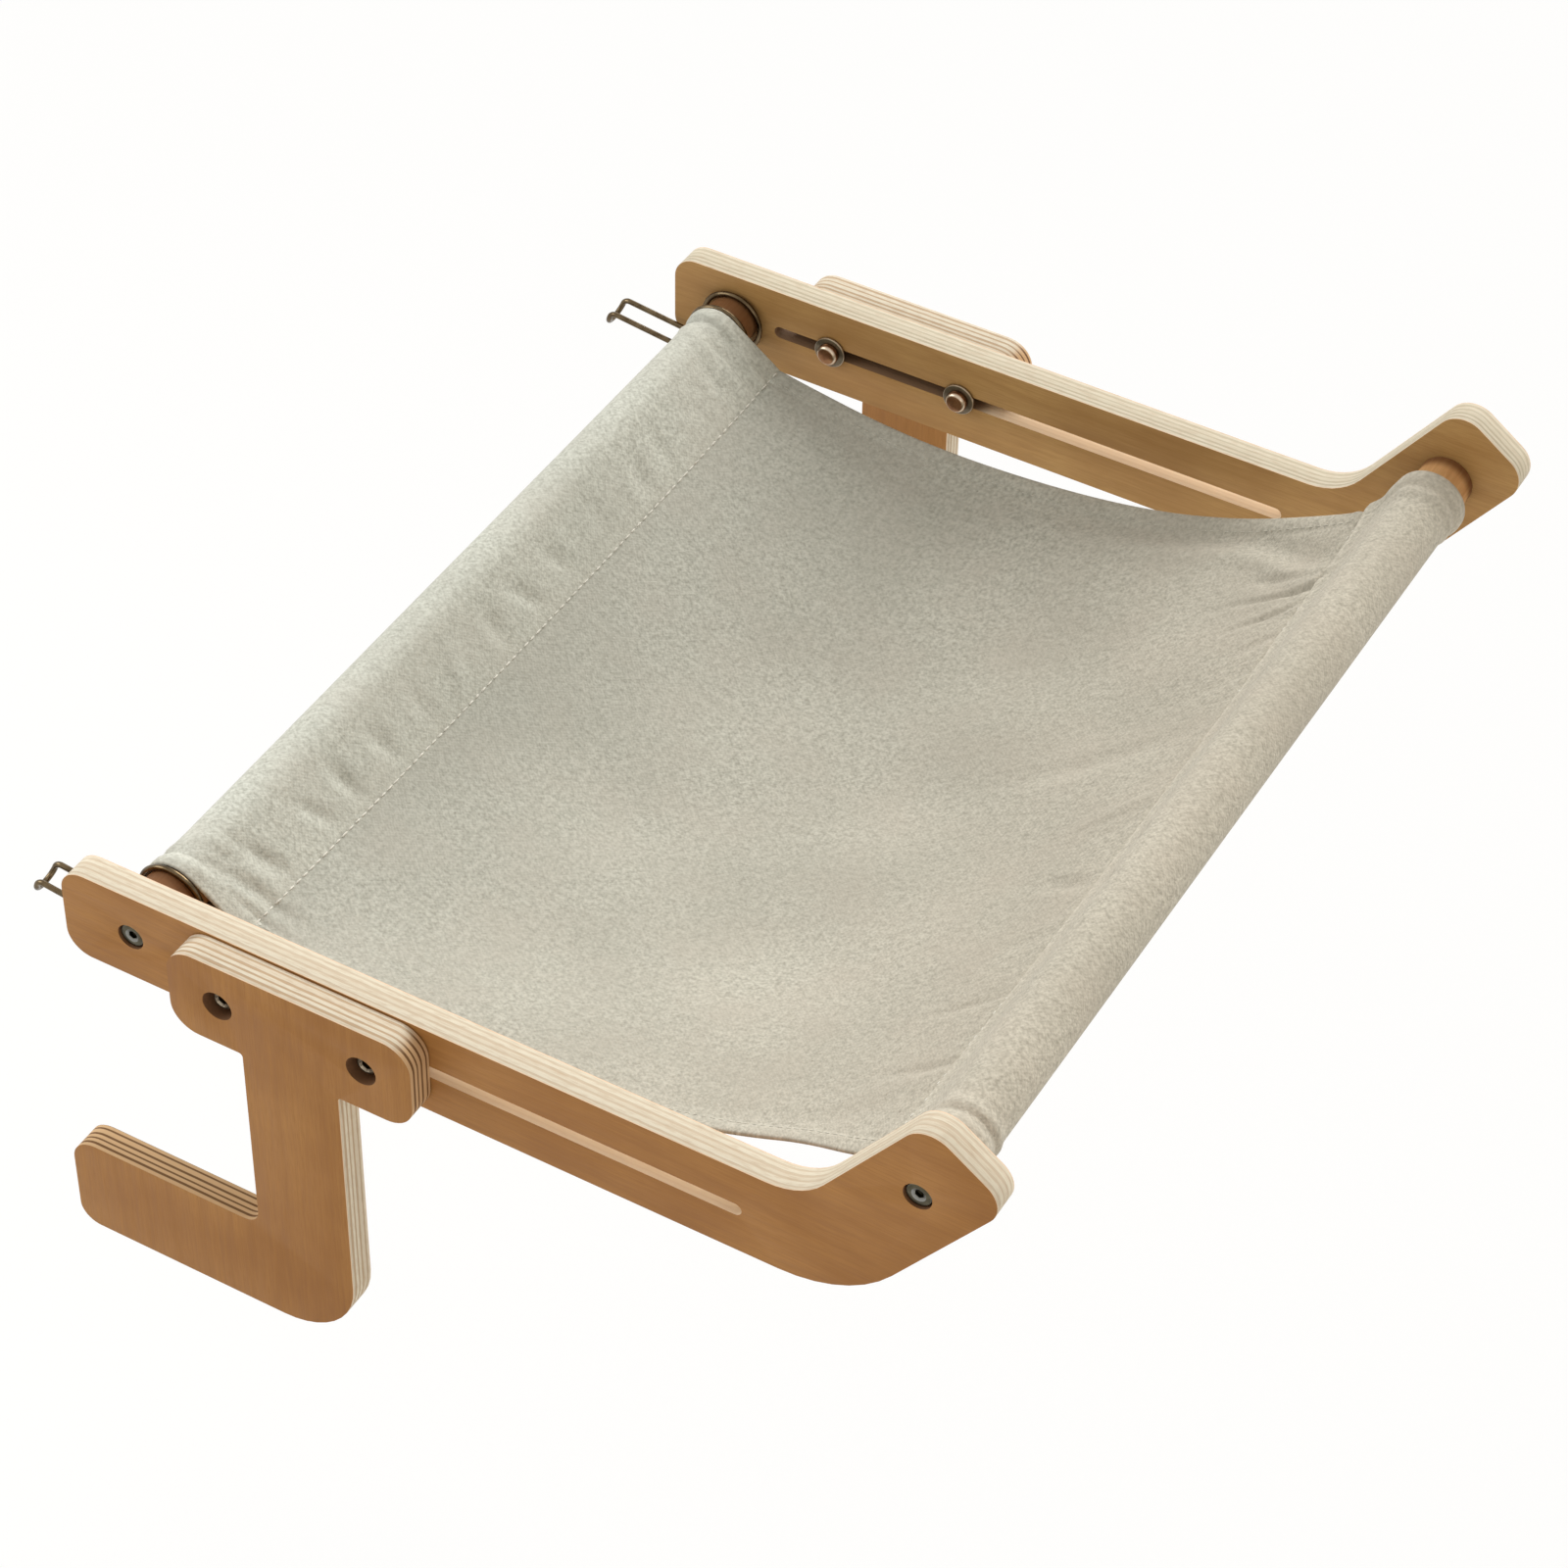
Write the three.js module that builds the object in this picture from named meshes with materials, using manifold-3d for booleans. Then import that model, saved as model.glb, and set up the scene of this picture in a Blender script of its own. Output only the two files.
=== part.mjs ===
// Window hammock for a cat: two bent plywood rails joined by two dowels carry a canvas sling,
// and a J-shaped panel slides along each rail to grip a window sill.
// Millimetres. +X runs from the window into the room, +Y across the hammock, +Z is up.
import * as THREE from 'three'
import Module from 'manifold-3d'

const wasm = await Module()
wasm.setup()
const { Manifold, CrossSection } = wasm

// Side rails
const WIDTH = 560             // over the outer faces of the two rails
const PLY = 15                // thickness of every plywood panel
const RAIL_H = 52             // height of the straight run
const KINK_X = 389.6          // where the straight top edge would meet the raised arm
const ARM_ANGLE = 54.25       // degrees from the straight run up to the arm
const ARM_LENGTH = 96         // along the arm's top edge, from the kink to its end
const ARM_W = 50
const RAIL_CORNER_R = 13      // at the rail's rear end
const ARM_CORNER_R = 14
const KINK_TOP_R = 34         // where the top edge turns up, and the same along the underside
const KINK_UNDER_R = 68
const SLOT_X0 = 62            // ends of the long adjusting slot
const SLOT_X1 = 360.4
const SLOT_W = 7

// Dowels
const DOWEL_D = 28
const REAR_X = 37.5
const AXIS_FROM_ARM_END = 37.5
const SCREW_D = 6
const SCREW_HEAD_D = 12.4
const SCREW_HEAD_H = 4
const SCREW_KEY_D = 4.6       // over the corners of the socket for a hexagon key
const SCREW_KEY_DEPTH = 2.6
const SCREW_REACH = 55        // length under the head
const SCREW_BORE_D = 14
const SCREW_BORE_DEPTH = 5.2

// Sill hooks
const HOOK_X = 135.3          // middle of the hook's head
const HOOK_GAP = 0.5          // between a hook and its rail
const HEAD_LENGTH = 131
const HEAD_H = 50
const HEAD_CORNER_R = 14.5
const STEM_X = 134.3          // middle of the stem
const STEM_W = 52
const NECK_R = 2              // where the stem leaves the head
const HOOK_DROP = 226.5       // from the rail's top edge to the foot's bottom edge
const FOOT_H = 58
const FOOT_REAR_X = -1        // how far the foot reaches towards the wall
const FOOT_TOP_R = 14         // corners of the foot's end
const FOOT_UNDER_R = 11
const CROOK_R = 9             // between stem and foot, inside and outside the bend
const HEEL_R = 42
const BOLT_SPACING = 77.6
const BOLT_D = 6
const BOLT_HEAD_D = 10
const BOLT_HEAD_H = 6
const BOLT_KEY_D = 5.8
const BOLT_KEY_DEPTH = 3.4
const BOLT_BORE_D = 16
const BOLT_BORE_DEPTH = 10
const WASHER_D = 18
const WASHER_T = 1.6
const NUT_D = 12
const NUT_H = 4
const NUT_CAP_T = 1           // closed end of the cap nut

// Wire clips
const WIRE_D = 3
const RING_R = 17             // centreline of the rings, which hang on the rear dowel
const RING_LEAVE = -78        // degrees round the ring where a leg leaves it
const WIRE_BEND_R = 4
const LEG_OFFSET = 12         // straight run before the leg bends up
const CLIP_W = 14             // between the middles of a clip's two legs
const LEG_LENGTH = 55
const LEG_PITCH = 7.3         // degrees that the legs rise towards the window
const LOOP_TURN = 76          // degrees that the loop at the end turns down
const CLIP_Y = 10             // from a rail's inner face to the middle of its clip

// Canvas sling
const SLING_INSET = 35        // from a rail's outer face to the sling's edge
const CLOTH = 1.2
const SLEEVE_GAP = 0.5        // between a dowel and the sleeve round it
const SEAM_REAR = 40          // from a dowel's axis to its seam
const SEAM_FRONT = 38
const REAR_FALL = [12, 28]    // degrees below level where the cloth leaves, at the edges and mid-width
const FRONT_FALL = [32, 40]
const SEAM_W = 3.6            // how far the two layers lie together at a seam
const FOLD = 2.2              // height of the folds at the sling's front corners
const FOLD_SPAN = 0.12        // share of the half width that the folds take

const CLEAR = 0.2             // between pieces that touch in the real object
const BORE_PLAY = 0.6         // how much wider a bore is than the shaft in it
const THREAD_PLAY = 0.4       // the same where the real shaft is threaded

// The row's origin: on the left rail's underside, where it rests on the sill.
const ORIGIN = [60, PLY / 2, -RAIL_H]

const rad = (degrees) => degrees * Math.PI / 180
const polar = (r, degrees) => [r * Math.cos(rad(degrees)), r * Math.sin(rad(degrees))]

const armDir = polar(1, ARM_ANGLE)
const armNormal = [armDir[1], -armDir[0]]
const onArm = (along, across) => [
  KINK_X + armDir[0] * along + armNormal[0] * across,
  armDir[1] * along + armNormal[1] * across,
]
const REAR_AXIS = [REAR_X, -RAIL_H / 2]
const FRONT_AXIS = onArm(ARM_LENGTH - AXIS_FROM_ARM_END, ARM_W / 2)
const HOOK_Z = -RAIL_H / 2

// A polygon whose corners [x, z, radius] are rounded with arcs.
function rounded(corners, step = 9) {
  const points = []
  corners.forEach(([x, z, r], i) => {
    if (!r) return points.push([x, z])
    const before = corners[(i + corners.length - 1) % corners.length]
    const after = corners[(i + 1) % corners.length]
    const a = new THREE.Vector2(before[0] - x, before[1] - z).normalize()
    const b = new THREE.Vector2(after[0] - x, after[1] - z).normalize()
    const half = Math.acos(a.dot(b)) / 2
    const centre = a.clone().add(b).normalize().multiplyScalar(r / Math.sin(half))
    const from = a.clone().multiplyScalar(r / Math.tan(half)).sub(centre)
    const turn = Math.PI - 2 * half
    const sign = Math.sign(from.cross(b.clone().multiplyScalar(r / Math.tan(half)).sub(centre)))
    const n = Math.max(2, Math.ceil(turn / rad(step)))
    for (let k = 0; k <= n; k++) {
      const p = from.clone().rotateAround(new THREE.Vector2(), sign * turn * k / n)
      points.push([x + centre.x + p.x, z + centre.y + p.y])
    }
  })
  return points
}

// A plate standing on its edge: an outline in X and Z, from y0 to y1.
const plate = (outline, y0, y1) => new CrossSection([outline], 'NonZero')
  .extrude(y1 - y0).rotate([90, 0, 0]).translate([0, y1, 0])

// A round bar along Y; six sides make a hexagon key's socket.
const bar = ([x, z], diameter, y0, y1, sides = 32) => Manifold
  .cylinder(y1 - y0, diameter / 2, diameter / 2, sides).rotate([90, 0, 0]).translate([x, y1, z])

const group = new THREE.Group()
group.name = 'cat_window_hammock'

function add(name, geometry, color, roughness = 0.6, metalness = 0) {
  geometry.translate(-ORIGIN[0], -ORIGIN[1], -ORIGIN[2])
  geometry.computeVertexNormals()
  const material = new THREE.MeshStandardMaterial({ color, roughness, metalness })
  material.name = name
  const mesh = new THREE.Mesh(geometry, material)
  mesh.name = name
  group.add(mesh)
}

function toGeometry(solid) {
  const { vertProperties, triVerts, numProp } = solid.getMesh()
  const geometry = new THREE.BufferGeometry()
  const xyz = new Float32Array(vertProperties.length / numProp * 3)
  for (let i = 0; i < xyz.length / 3; i++) {
    for (let k = 0; k < 3; k++) xyz[3 * i + k] = vertProperties[numProp * i + k]
  }
  geometry.setAttribute('position', new THREE.BufferAttribute(xyz, 3))
  geometry.setIndex([...triVerts])
  return geometry
}

// The left-hand pieces are built at y = 0 and mirrored for the right-hand rail.
const mirrored = (solid) => solid.mirror([0, 1, 0]).translate([0, WIDTH, 0])
function addPair(name, solid, ...look) {
  add(`left_${name}`, toGeometry(solid), ...look)
  add(`right_${name}`, toGeometry(mirrored(solid)), ...look)
}

const FACE = 0xa0703f
const TAN = 0xc99a66
const STEEL = 0x8d8f92
const BRONZE = 0x7d6a4c
const CANVAS = 0xcbc6b4

// Side rails: straight run, concave kink, raised arm with rounded corners
const railOutline = rounded([
  [0, 0, RAIL_CORNER_R],
  [0, -RAIL_H, RAIL_CORNER_R],
  [KINK_X + (ARM_W - RAIL_H * armDir[0]) / armDir[1], -RAIL_H, KINK_UNDER_R],
  [...onArm(ARM_LENGTH, ARM_W), ARM_CORNER_R],
  [...onArm(ARM_LENGTH, 0), ARM_CORNER_R],
  [KINK_X, 0, KINK_TOP_R],
])
const slotR = SLOT_W / 2
const slotOutline = rounded([
  [SLOT_X0, HOOK_Z + slotR, slotR], [SLOT_X0, HOOK_Z - slotR, slotR],
  [SLOT_X1, HOOK_Z - slotR, slotR], [SLOT_X1, HOOK_Z + slotR, slotR],
], 20)
let rail = plate(railOutline, 0, PLY).subtract(plate(slotOutline, -1, PLY + 1))
for (const axis of [REAR_AXIS, FRONT_AXIS]) {
  rail = rail.subtract(bar(axis, SCREW_BORE_D, -1, SCREW_BORE_DEPTH))
    .subtract(bar(axis, SCREW_D + BORE_PLAY, 0, PLY + 1, 24))
}
addPair('side_rail', rail, FACE)

// Dowels butt against the rails' inner faces and are held by a long screw at each end
for (const [name, axis] of [['rear', REAR_AXIS], ['front', FRONT_AXIS]]) {
  const hole = (y0, y1) => bar(axis, SCREW_D + THREAD_PLAY, y0, y1, 24)
  const deep = SCREW_BORE_DEPTH + SCREW_REACH + 2
  const dowel = bar(axis, DOWEL_D, PLY + CLEAR, WIDTH - PLY - CLEAR, 48)
    .subtract(hole(0, deep)).subtract(hole(WIDTH - deep, WIDTH))
  add(`${name}_dowel`, toGeometry(dowel), TAN)

  const top = SCREW_BORE_DEPTH - CLEAR - SCREW_HEAD_H
  const screw = bar(axis, SCREW_HEAD_D, top, top + SCREW_HEAD_H, 32)
    .add(bar(axis, SCREW_D, top + 1, top + SCREW_HEAD_H + SCREW_REACH, 24))
    .subtract(bar(axis, SCREW_KEY_D, top - 1, top + SCREW_KEY_DEPTH, 6))
  addPair(`${name}_dowel_screw`, screw, STEEL, 0.35, 0.9)
}

// Sill hooks: one panel each, with a head on the rail, a stem and a foot towards the wall
const yHook = [-HOOK_GAP - PLY, -HOOK_GAP]
const head = { rear: HOOK_X - HEAD_LENGTH / 2, front: HOOK_X + HEAD_LENGTH / 2,
  top: HOOK_Z + HEAD_H / 2, under: HOOK_Z - HEAD_H / 2 }
const stem = { rear: STEM_X - STEM_W / 2, front: STEM_X + STEM_W / 2 }
const footTop = FOOT_H - HOOK_DROP
const hookOutline = rounded([
  [head.rear, head.top, HEAD_CORNER_R],
  [head.rear, head.under, HEAD_CORNER_R],
  [stem.rear, head.under, NECK_R],
  [stem.rear, footTop, CROOK_R],
  [FOOT_REAR_X, footTop, FOOT_TOP_R],
  [FOOT_REAR_X, -HOOK_DROP, FOOT_UNDER_R],
  [stem.front, -HOOK_DROP, HEEL_R],
  [stem.front, head.under, NECK_R],
  [head.front, head.under, HEAD_CORNER_R],
  [head.front, head.top, HEAD_CORNER_R],
])
let hook = plate(hookOutline, ...yHook)
const bolts = [['rear', HOOK_X - BOLT_SPACING / 2], ['front', HOOK_X + BOLT_SPACING / 2]]
for (const [, x] of bolts) {
  hook = hook.subtract(bar([x, HOOK_Z], BOLT_BORE_D, yHook[0] - 1, yHook[0] + BOLT_BORE_DEPTH))
    .subtract(bar([x, HOOK_Z], BOLT_D + BORE_PLAY, yHook[0], 1, 24))
}
addPair('sill_hook', hook, FACE)

// Hook bolts pass through the slot and clamp on a washer and cap nut behind the rail
for (const [end, x] of bolts) {
  const axis = [x, HOOK_Z]
  const seat = yHook[0] + BOLT_BORE_DEPTH - CLEAR
  const washerFace = PLY + CLEAR + WASHER_T
  const nutFace = washerFace + CLEAR
  const headTop = seat - BOLT_HEAD_H
  const bolt = bar(axis, BOLT_HEAD_D, headTop, seat, 32)
    .add(bar(axis, BOLT_D, seat - 1, nutFace + NUT_H - NUT_CAP_T - THREAD_PLAY, 24))
    .subtract(bar(axis, BOLT_KEY_D, headTop - 1, headTop + BOLT_KEY_DEPTH, 6))
  addPair(`${end}_hook_bolt`, bolt, STEEL, 0.3, 0.9)

  const washer = bar(axis, WASHER_D, PLY + CLEAR, washerFace, 36)
    .subtract(bar(axis, BOLT_D + BORE_PLAY, PLY, washerFace + 1, 24))
  addPair(`${end}_hook_washer`, washer, STEEL, 0.3, 0.9)

  const nut = bar(axis, NUT_D, nutFace, nutFace + NUT_H, 32)
    .subtract(bar(axis, BOLT_D + THREAD_PLAY, nutFace - 1, nutFace + NUT_H - NUT_CAP_T, 24))
  addPair(`${end}_hook_nut`, nut, STEEL, 0.3, 0.9)
}

// Wire clips: ring, leg, turned-down loop, leg and ring, bent from one wire
function clipPath() {
  const half = []
  for (let k = 0; k <= 34; k++) half.push(polar(RING_R, RING_LEAVE + 312 * (1 - k / 34)))
  let heading = RING_LEAVE - 90
  const last = () => half[half.length - 1]
  const run = (length) => {
    const [dx, dz] = polar(length, heading)
    half.push([last()[0] + dx, last()[1] + dz])
  }
  const bend = (r, turn, steps) => {
    const side = Math.sign(turn) * 90
    const [cx, cz] = last().map((c, i) => c + polar(r, heading + side)[i])
    for (let k = 1; k <= steps; k++) {
      const [x, z] = polar(r, heading - side + turn * k / steps)
      half.push([cx + x, cz + z])
    }
    heading += turn
  }
  run(LEG_OFFSET)
  bend(WIRE_BEND_R, -90 - LEG_PITCH - RING_LEAVE, 3)
  run(LEG_LENGTH)
  bend(WIRE_BEND_R, LOOP_TURN, 6)
  const path = half.map(([x, z]) => [x, CLIP_W / 2, z])
  const down = polar(1, heading)
  for (let k = 1; k < 12; k++) {
    const [y, drop] = polar(CLIP_W / 2, 180 * k / 12)
    path.push([last()[0] + down[0] * drop, y, last()[1] + down[1] * drop])
  }
  return [...path, ...half.reverse().map(([x, z]) => [x, -CLIP_W / 2, z])]
}

// A round wire swept along points, with a flat cap at each end
function wire(points, diameter, sides = 12) {
  const at = points.map((p) => new THREE.Vector3(...p))
  const tangents = at.map((p, i) => at[Math.min(i + 1, at.length - 1)].clone()
    .sub(at[Math.max(i - 1, 0)]).normalize())
  let side = new THREE.Vector3(0, 1, 0)
  const positions = []
  at.forEach((p, i) => {
    side = side.clone().addScaledVector(tangents[i], -side.dot(tangents[i])).normalize()
    const other = new THREE.Vector3().crossVectors(tangents[i], side)
    for (let k = 0; k < sides; k++) {
      const [a, b] = polar(diameter / 2, 360 * k / sides)
      positions.push(...p.clone().addScaledVector(side, a).addScaledVector(other, b).toArray())
    }
  })
  const first = positions.length / 3
  positions.push(...at[0].toArray(), ...at[at.length - 1].toArray())
  const index = []
  for (let k = 0; k < sides; k++) {
    const next = (k + 1) % sides
    for (let i = 0; i + 1 < at.length; i++) {
      const [a, b] = [i * sides + k, i * sides + next]
      index.push(a, b, b + sides, a, b + sides, a + sides)
    }
    const last = (at.length - 1) * sides
    index.push(first, next, k, first + 1, last + k, last + next)
  }
  return { positions, index }
}

function closedGeometry({ positions, index }) {
  const geometry = new THREE.BufferGeometry()
  geometry.setAttribute('position', new THREE.Float32BufferAttribute(positions, 3))
  geometry.setIndex(index)
  return geometry
}

for (const [name, y] of [['left', PLY + CLIP_Y], ['right', WIDTH - PLY - CLIP_Y]]) {
  const hang = RING_R - WIRE_D / 2 - DOWEL_D / 2 - CLEAR
  const points = clipPath().map(([x, dy, z]) => [REAR_X + x, y + dy, REAR_AXIS[1] - hang + z])
  add(`${name}_wire_clip`, closedGeometry(wire(points, WIRE_D)), BRONZE, 0.35, 0.9)
}

// Canvas sling: a panel hung between two seams, each closing a sleeve round a dowel
const blend = ([edge, middle], v) => middle + (edge - middle) * v * v
const around = ([x, z], r, degrees) => [x + r * Math.cos(rad(degrees)), z + r * Math.sin(rad(degrees))]

// One loop round a dowel, from one side of the seam to the other, the long way round
function loop(axis, r, reach, toSeam, steps) {
  const half = Math.acos(r / reach) * 180 / Math.PI
  const points = []
  for (let k = 0; k <= steps; k++) {
    points.push(around(axis, r, toSeam - half - (360 - 2 * half) * k / steps))
  }
  return points
}

// Outline of the cloth across the hammock at v, from -1 at one edge to 1 at the other
function slingSection(v) {
  const inner = DOWEL_D / 2 + SLEEVE_GAP
  const rearDir = -blend(REAR_FALL, v)
  const frontDir = 180 + blend(FRONT_FALL, v)
  const rearSeam = around(REAR_AXIS, SEAM_REAR, rearDir)
  const frontSeam = around(FRONT_AXIS, SEAM_FRONT, frontDir)
  const a = polar(1, rearDir)
  const b = polar(1, frontDir)
  const s = ((frontSeam[0] - rearSeam[0]) * b[1] - (frontSeam[1] - rearSeam[1]) * b[0])
    / (a[0] * b[1] - a[1] * b[0])
  const low = [rearSeam[0] + a[0] * s, rearSeam[1] + a[1] * s]
  const edge = (1 - Math.abs(v)) / FOLD_SPAN
  const upper = []
  const lower = []
  const steps = 12
  for (let k = 0; k <= steps; k++) {
    const t = k / steps
    const at = (i) => (1 - t) ** 2 * rearSeam[i] + 2 * t * (1 - t) * low[i] + t * t * frontSeam[i]
    const along = (i) => (1 - t) * (low[i] - rearSeam[i]) + t * (frontSeam[i] - low[i])
    const n = new THREE.Vector2(-along(1), along(0)).normalize().multiplyScalar(CLOTH / 2)
    const near = Math.sin(Math.PI * Math.max(0, t - 0.4) / 0.6)
    const fold = edge < 1 ? FOLD * near * Math.sin(2 * Math.PI * edge) : 0
    upper.push([at(0) + n.x, at(1) + n.y + fold])
    lower.push([at(0) - n.x, at(1) - n.y + fold])
  }
  const outer = [
    ...loop(REAR_AXIS, inner + CLOTH, SEAM_REAR, rearDir, 11),
    ...upper,
    ...loop(FRONT_AXIS, inner + CLOTH, SEAM_FRONT, frontDir, 11),
    ...lower.reverse(),
  ]
  const pocket = (axis, reach, dir) => [
    around(axis, reach - SEAM_W, dir), ...loop(axis, inner, reach - SEAM_W, dir, 11).reverse(),
  ]
  return [outer, pocket(REAR_AXIS, SEAM_REAR, rearDir), pocket(FRONT_AXIS, SEAM_FRONT, frontDir)]
}

function slingGeometry() {
  const half = [0, 0.25, 0.5, 0.7, 0.84, 0.88, 0.92, 0.96, 1]
  const stations = [...half.slice(1).reverse().map((v) => -v), ...half]
  const reach = WIDTH / 2 - SLING_INSET
  const rings = stations.map(slingSection)
  const positions = []
  rings.forEach((loops, j) => loops.flat()
    .forEach(([x, z]) => positions.push(x, WIDTH / 2 + stations[j] * reach, z)))
  const count = rings[0].flat().length
  const index = []
  let start = 0
  for (const outline of rings[0]) {
    for (let i = 0; i < outline.length; i++) {
      const [a, b] = [start + i, start + (i + 1) % outline.length]
      for (let j = 0; j + 1 < stations.length; j++) {
        const [p, q] = [a + j * count, b + j * count]
        index.push(p, q, q + count, p, q + count, p + count)
      }
    }
    start += outline.length
  }
  const caps = [[0, true], [stations.length - 1, false]]
  for (const [j, first] of caps) {
    const [outer, ...holes] = rings[j].map((l) => l.map(([x, z]) => new THREE.Vector2(x, z)))
    for (const [a, b, c] of THREE.ShapeUtils.triangulateShape(outer, holes)) {
      const face = first ? [a, b, c] : [a, c, b]
      index.push(...face.map((i) => i + j * count))
    }
  }
  return closedGeometry({ positions, index })
}
add('canvas_sling', slingGeometry(), CANVAS, 0.95)

export default group
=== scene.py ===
import math

import bmesh
import bpy
import numpy as np
from mathutils import Matrix, Vector


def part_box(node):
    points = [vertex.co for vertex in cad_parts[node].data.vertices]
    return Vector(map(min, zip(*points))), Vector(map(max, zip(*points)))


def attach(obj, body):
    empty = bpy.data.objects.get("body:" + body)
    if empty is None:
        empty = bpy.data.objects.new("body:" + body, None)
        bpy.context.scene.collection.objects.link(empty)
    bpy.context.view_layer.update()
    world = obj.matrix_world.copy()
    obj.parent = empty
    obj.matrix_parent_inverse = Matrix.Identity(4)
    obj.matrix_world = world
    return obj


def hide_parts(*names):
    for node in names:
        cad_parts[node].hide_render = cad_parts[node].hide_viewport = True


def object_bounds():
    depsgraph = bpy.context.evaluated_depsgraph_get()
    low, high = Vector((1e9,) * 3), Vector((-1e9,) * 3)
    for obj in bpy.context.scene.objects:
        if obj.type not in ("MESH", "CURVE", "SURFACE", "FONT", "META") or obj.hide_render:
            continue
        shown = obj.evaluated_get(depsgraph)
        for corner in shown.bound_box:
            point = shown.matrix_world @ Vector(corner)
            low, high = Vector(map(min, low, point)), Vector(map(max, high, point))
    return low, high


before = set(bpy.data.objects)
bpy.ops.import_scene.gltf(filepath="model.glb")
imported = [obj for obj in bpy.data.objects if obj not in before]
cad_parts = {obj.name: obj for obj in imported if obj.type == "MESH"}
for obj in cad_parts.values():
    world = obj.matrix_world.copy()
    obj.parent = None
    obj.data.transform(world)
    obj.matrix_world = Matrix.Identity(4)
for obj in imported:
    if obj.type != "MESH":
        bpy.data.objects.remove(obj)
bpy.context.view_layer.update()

# Side rails: two panels of 15 mm birch plywood cut to one outline, with a long slot for the
# hook's bolts and a counterbore for each dowel screw. The edges are sanded and show the plies.
EASED_EDGE = 0.0006
PLY_PAIR = 0.2174               # a light and a dark ply together, as a share of the thickness
LIGHT_PLY = 0.60                # share of a pair that is the light ply
VENEER_SHARE = 0.045            # outer veneer, as a share of the panel's thickness
FACE_SHARE = 0.0035             # skin that counts as the oiled face
FACE_DARK = (0.330, 0.140, 0.036, 1)
FACE_LIGHT = (0.495, 0.245, 0.074, 1)
FAR_FACE_LIGHT = (1.05, 1.27, 1.58, 1)      # the far rail's face painted paler and greyer, as the light it gets, against the near one's
EDGE_CREAM = (0.735, 0.670, 0.545, 1)
EDGE_TAN = (0.500, 0.360, 0.235, 1)
EDGE_OLIVE = (0.440, 0.385, 0.265, 1)
EDGE_VENEER = (0.790, 0.600, 0.430, 1)
EDGE_GLUE = (0.230, 0.125, 0.050, 1)
# Painted shade for edges that face away from the light: the hooks' foot tops and head ends.
SHADED_EDGE_LIGHT = (0.620, 0.405, 0.220, 1)
SHADED_EDGE_DARK = (0.170, 0.080, 0.030, 1)
# Painted shade inside the counterbores.
BORE_SHADE = (0.185, 0.088, 0.040, 1)
# Painted shade inside the slot along the length the hook covers, a little past both bolts.
SLOT_SHADE = (0.175, 0.078, 0.026, 1)
SLOT_FRESH = (0.880, 0.690, 0.500, 1)
SLOT_ENDS = (0.0015, 0.3010)
SLOT_HALF = 0.0036              # half the slot's width, with its eased edge
SHADE_PAST_BOLTS = (0.060, 0.020)
SHADE_FADES = 0.012
BORE_REACH = 0.0088             # from a counterbore's axis to past its eased edge


def fill(made, inputs):
    """Links or sets a node's inputs."""
    for key, value in inputs.items():
        if isinstance(value, bpy.types.NodeSocket):
            made.id_data.links.new(value, made.inputs[key])
        else:
            made.inputs[key].default_value = value


def node(tree, kind, inputs=None, **settings):
    """A node with its settings made and its inputs filled."""
    made = tree.nodes.new(kind)
    for key, value in settings.items():
        setattr(made, key, value)
    fill(made, inputs or {})
    return made


def tree_of(*values):
    """The node tree of the first socket among these values."""
    return next(value.id_data for value in values if isinstance(value, bpy.types.NodeSocket))


def sums(operation, *values):
    inputs = dict(enumerate(values))
    return node(tree_of(*values), "ShaderNodeMath", inputs, operation=operation).outputs[0]


def times(a, b):
    return sums("MULTIPLY", a, b)


def plus(a, b):
    return sums("ADD", a, b)


def rest_of(share):
    return sums("SUBTRACT", 1.0, share)


def away_from(value, middle):
    return sums("ABSOLUTE", sums("SUBTRACT", value, middle))


def mixed(share, a, b, blend="MIX"):
    inputs = {0: share, 6: a, 7: b}
    made = node(tree_of(share, a, b), "ShaderNodeMix", inputs, data_type="RGBA", blend_type=blend)
    return made.outputs[2]


def ranged(value, low, high, to_low=0.0, to_high=1.0, smooth=False):
    kind = "SMOOTHSTEP" if smooth else "LINEAR"
    inputs = {0: value, 1: low, 2: high, 3: to_low, 4: to_high}
    return node(tree_of(value), "ShaderNodeMapRange", inputs, interpolation_type=kind).outputs[0]


def noise(place, scale, detail=2.0, roughness=0.5):
    inputs = {"Vector": place, "Scale": scale, "Detail": detail, "Roughness": roughness}
    return node(tree_of(place), "ShaderNodeTexNoise", inputs).outputs[0]


def painted(tree, name):
    """The value that a mesh carries at its points under this name."""
    return node(tree, "ShaderNodeAttribute", attribute_name=name).outputs["Fac"]


def object_place(tree):
    return tree.nodes.new("ShaderNodeTexCoord").outputs["Object"]


def node_group(name, inputs, outputs, tree_kind="ShaderNodeTree"):
    """An empty group with its sockets as (title, kind), and its two end nodes."""
    tree = bpy.data.node_groups.new(name, tree_kind)
    for in_out, sockets in (("INPUT", inputs), ("OUTPUT", outputs)):
        for title, kind in sockets:
            tree.interface.new_socket(title, in_out=in_out, socket_type=f"NodeSocket{kind}")
    return tree, tree.nodes.new("NodeGroupInput"), tree.nodes.new("NodeGroupOutput")


def give_out(tree, end, *values):
    """Links a group's results to its outputs, in order."""
    for value, socket in zip(values, end.inputs):
        tree.links.new(value, socket)
    return tree


def placed_group(tree, group, inputs):
    return node(tree, "ShaderNodeGroup", inputs, node_tree=group)


def new_material(name):
    """A material and its tree, with a Principled BSDF on its output."""
    material = bpy.data.materials.new(name)
    material.use_nodes = True
    tree = material.node_tree
    return material, tree, tree.nodes["Principled BSDF"]


def finish_bump(tree, surface, height, strength, distance):
    bump = node(tree, "ShaderNodeBump", {"Strength": strength, "Distance": distance, "Height": height})
    fill(surface, {"Normal": bump.outputs[0]})


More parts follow.
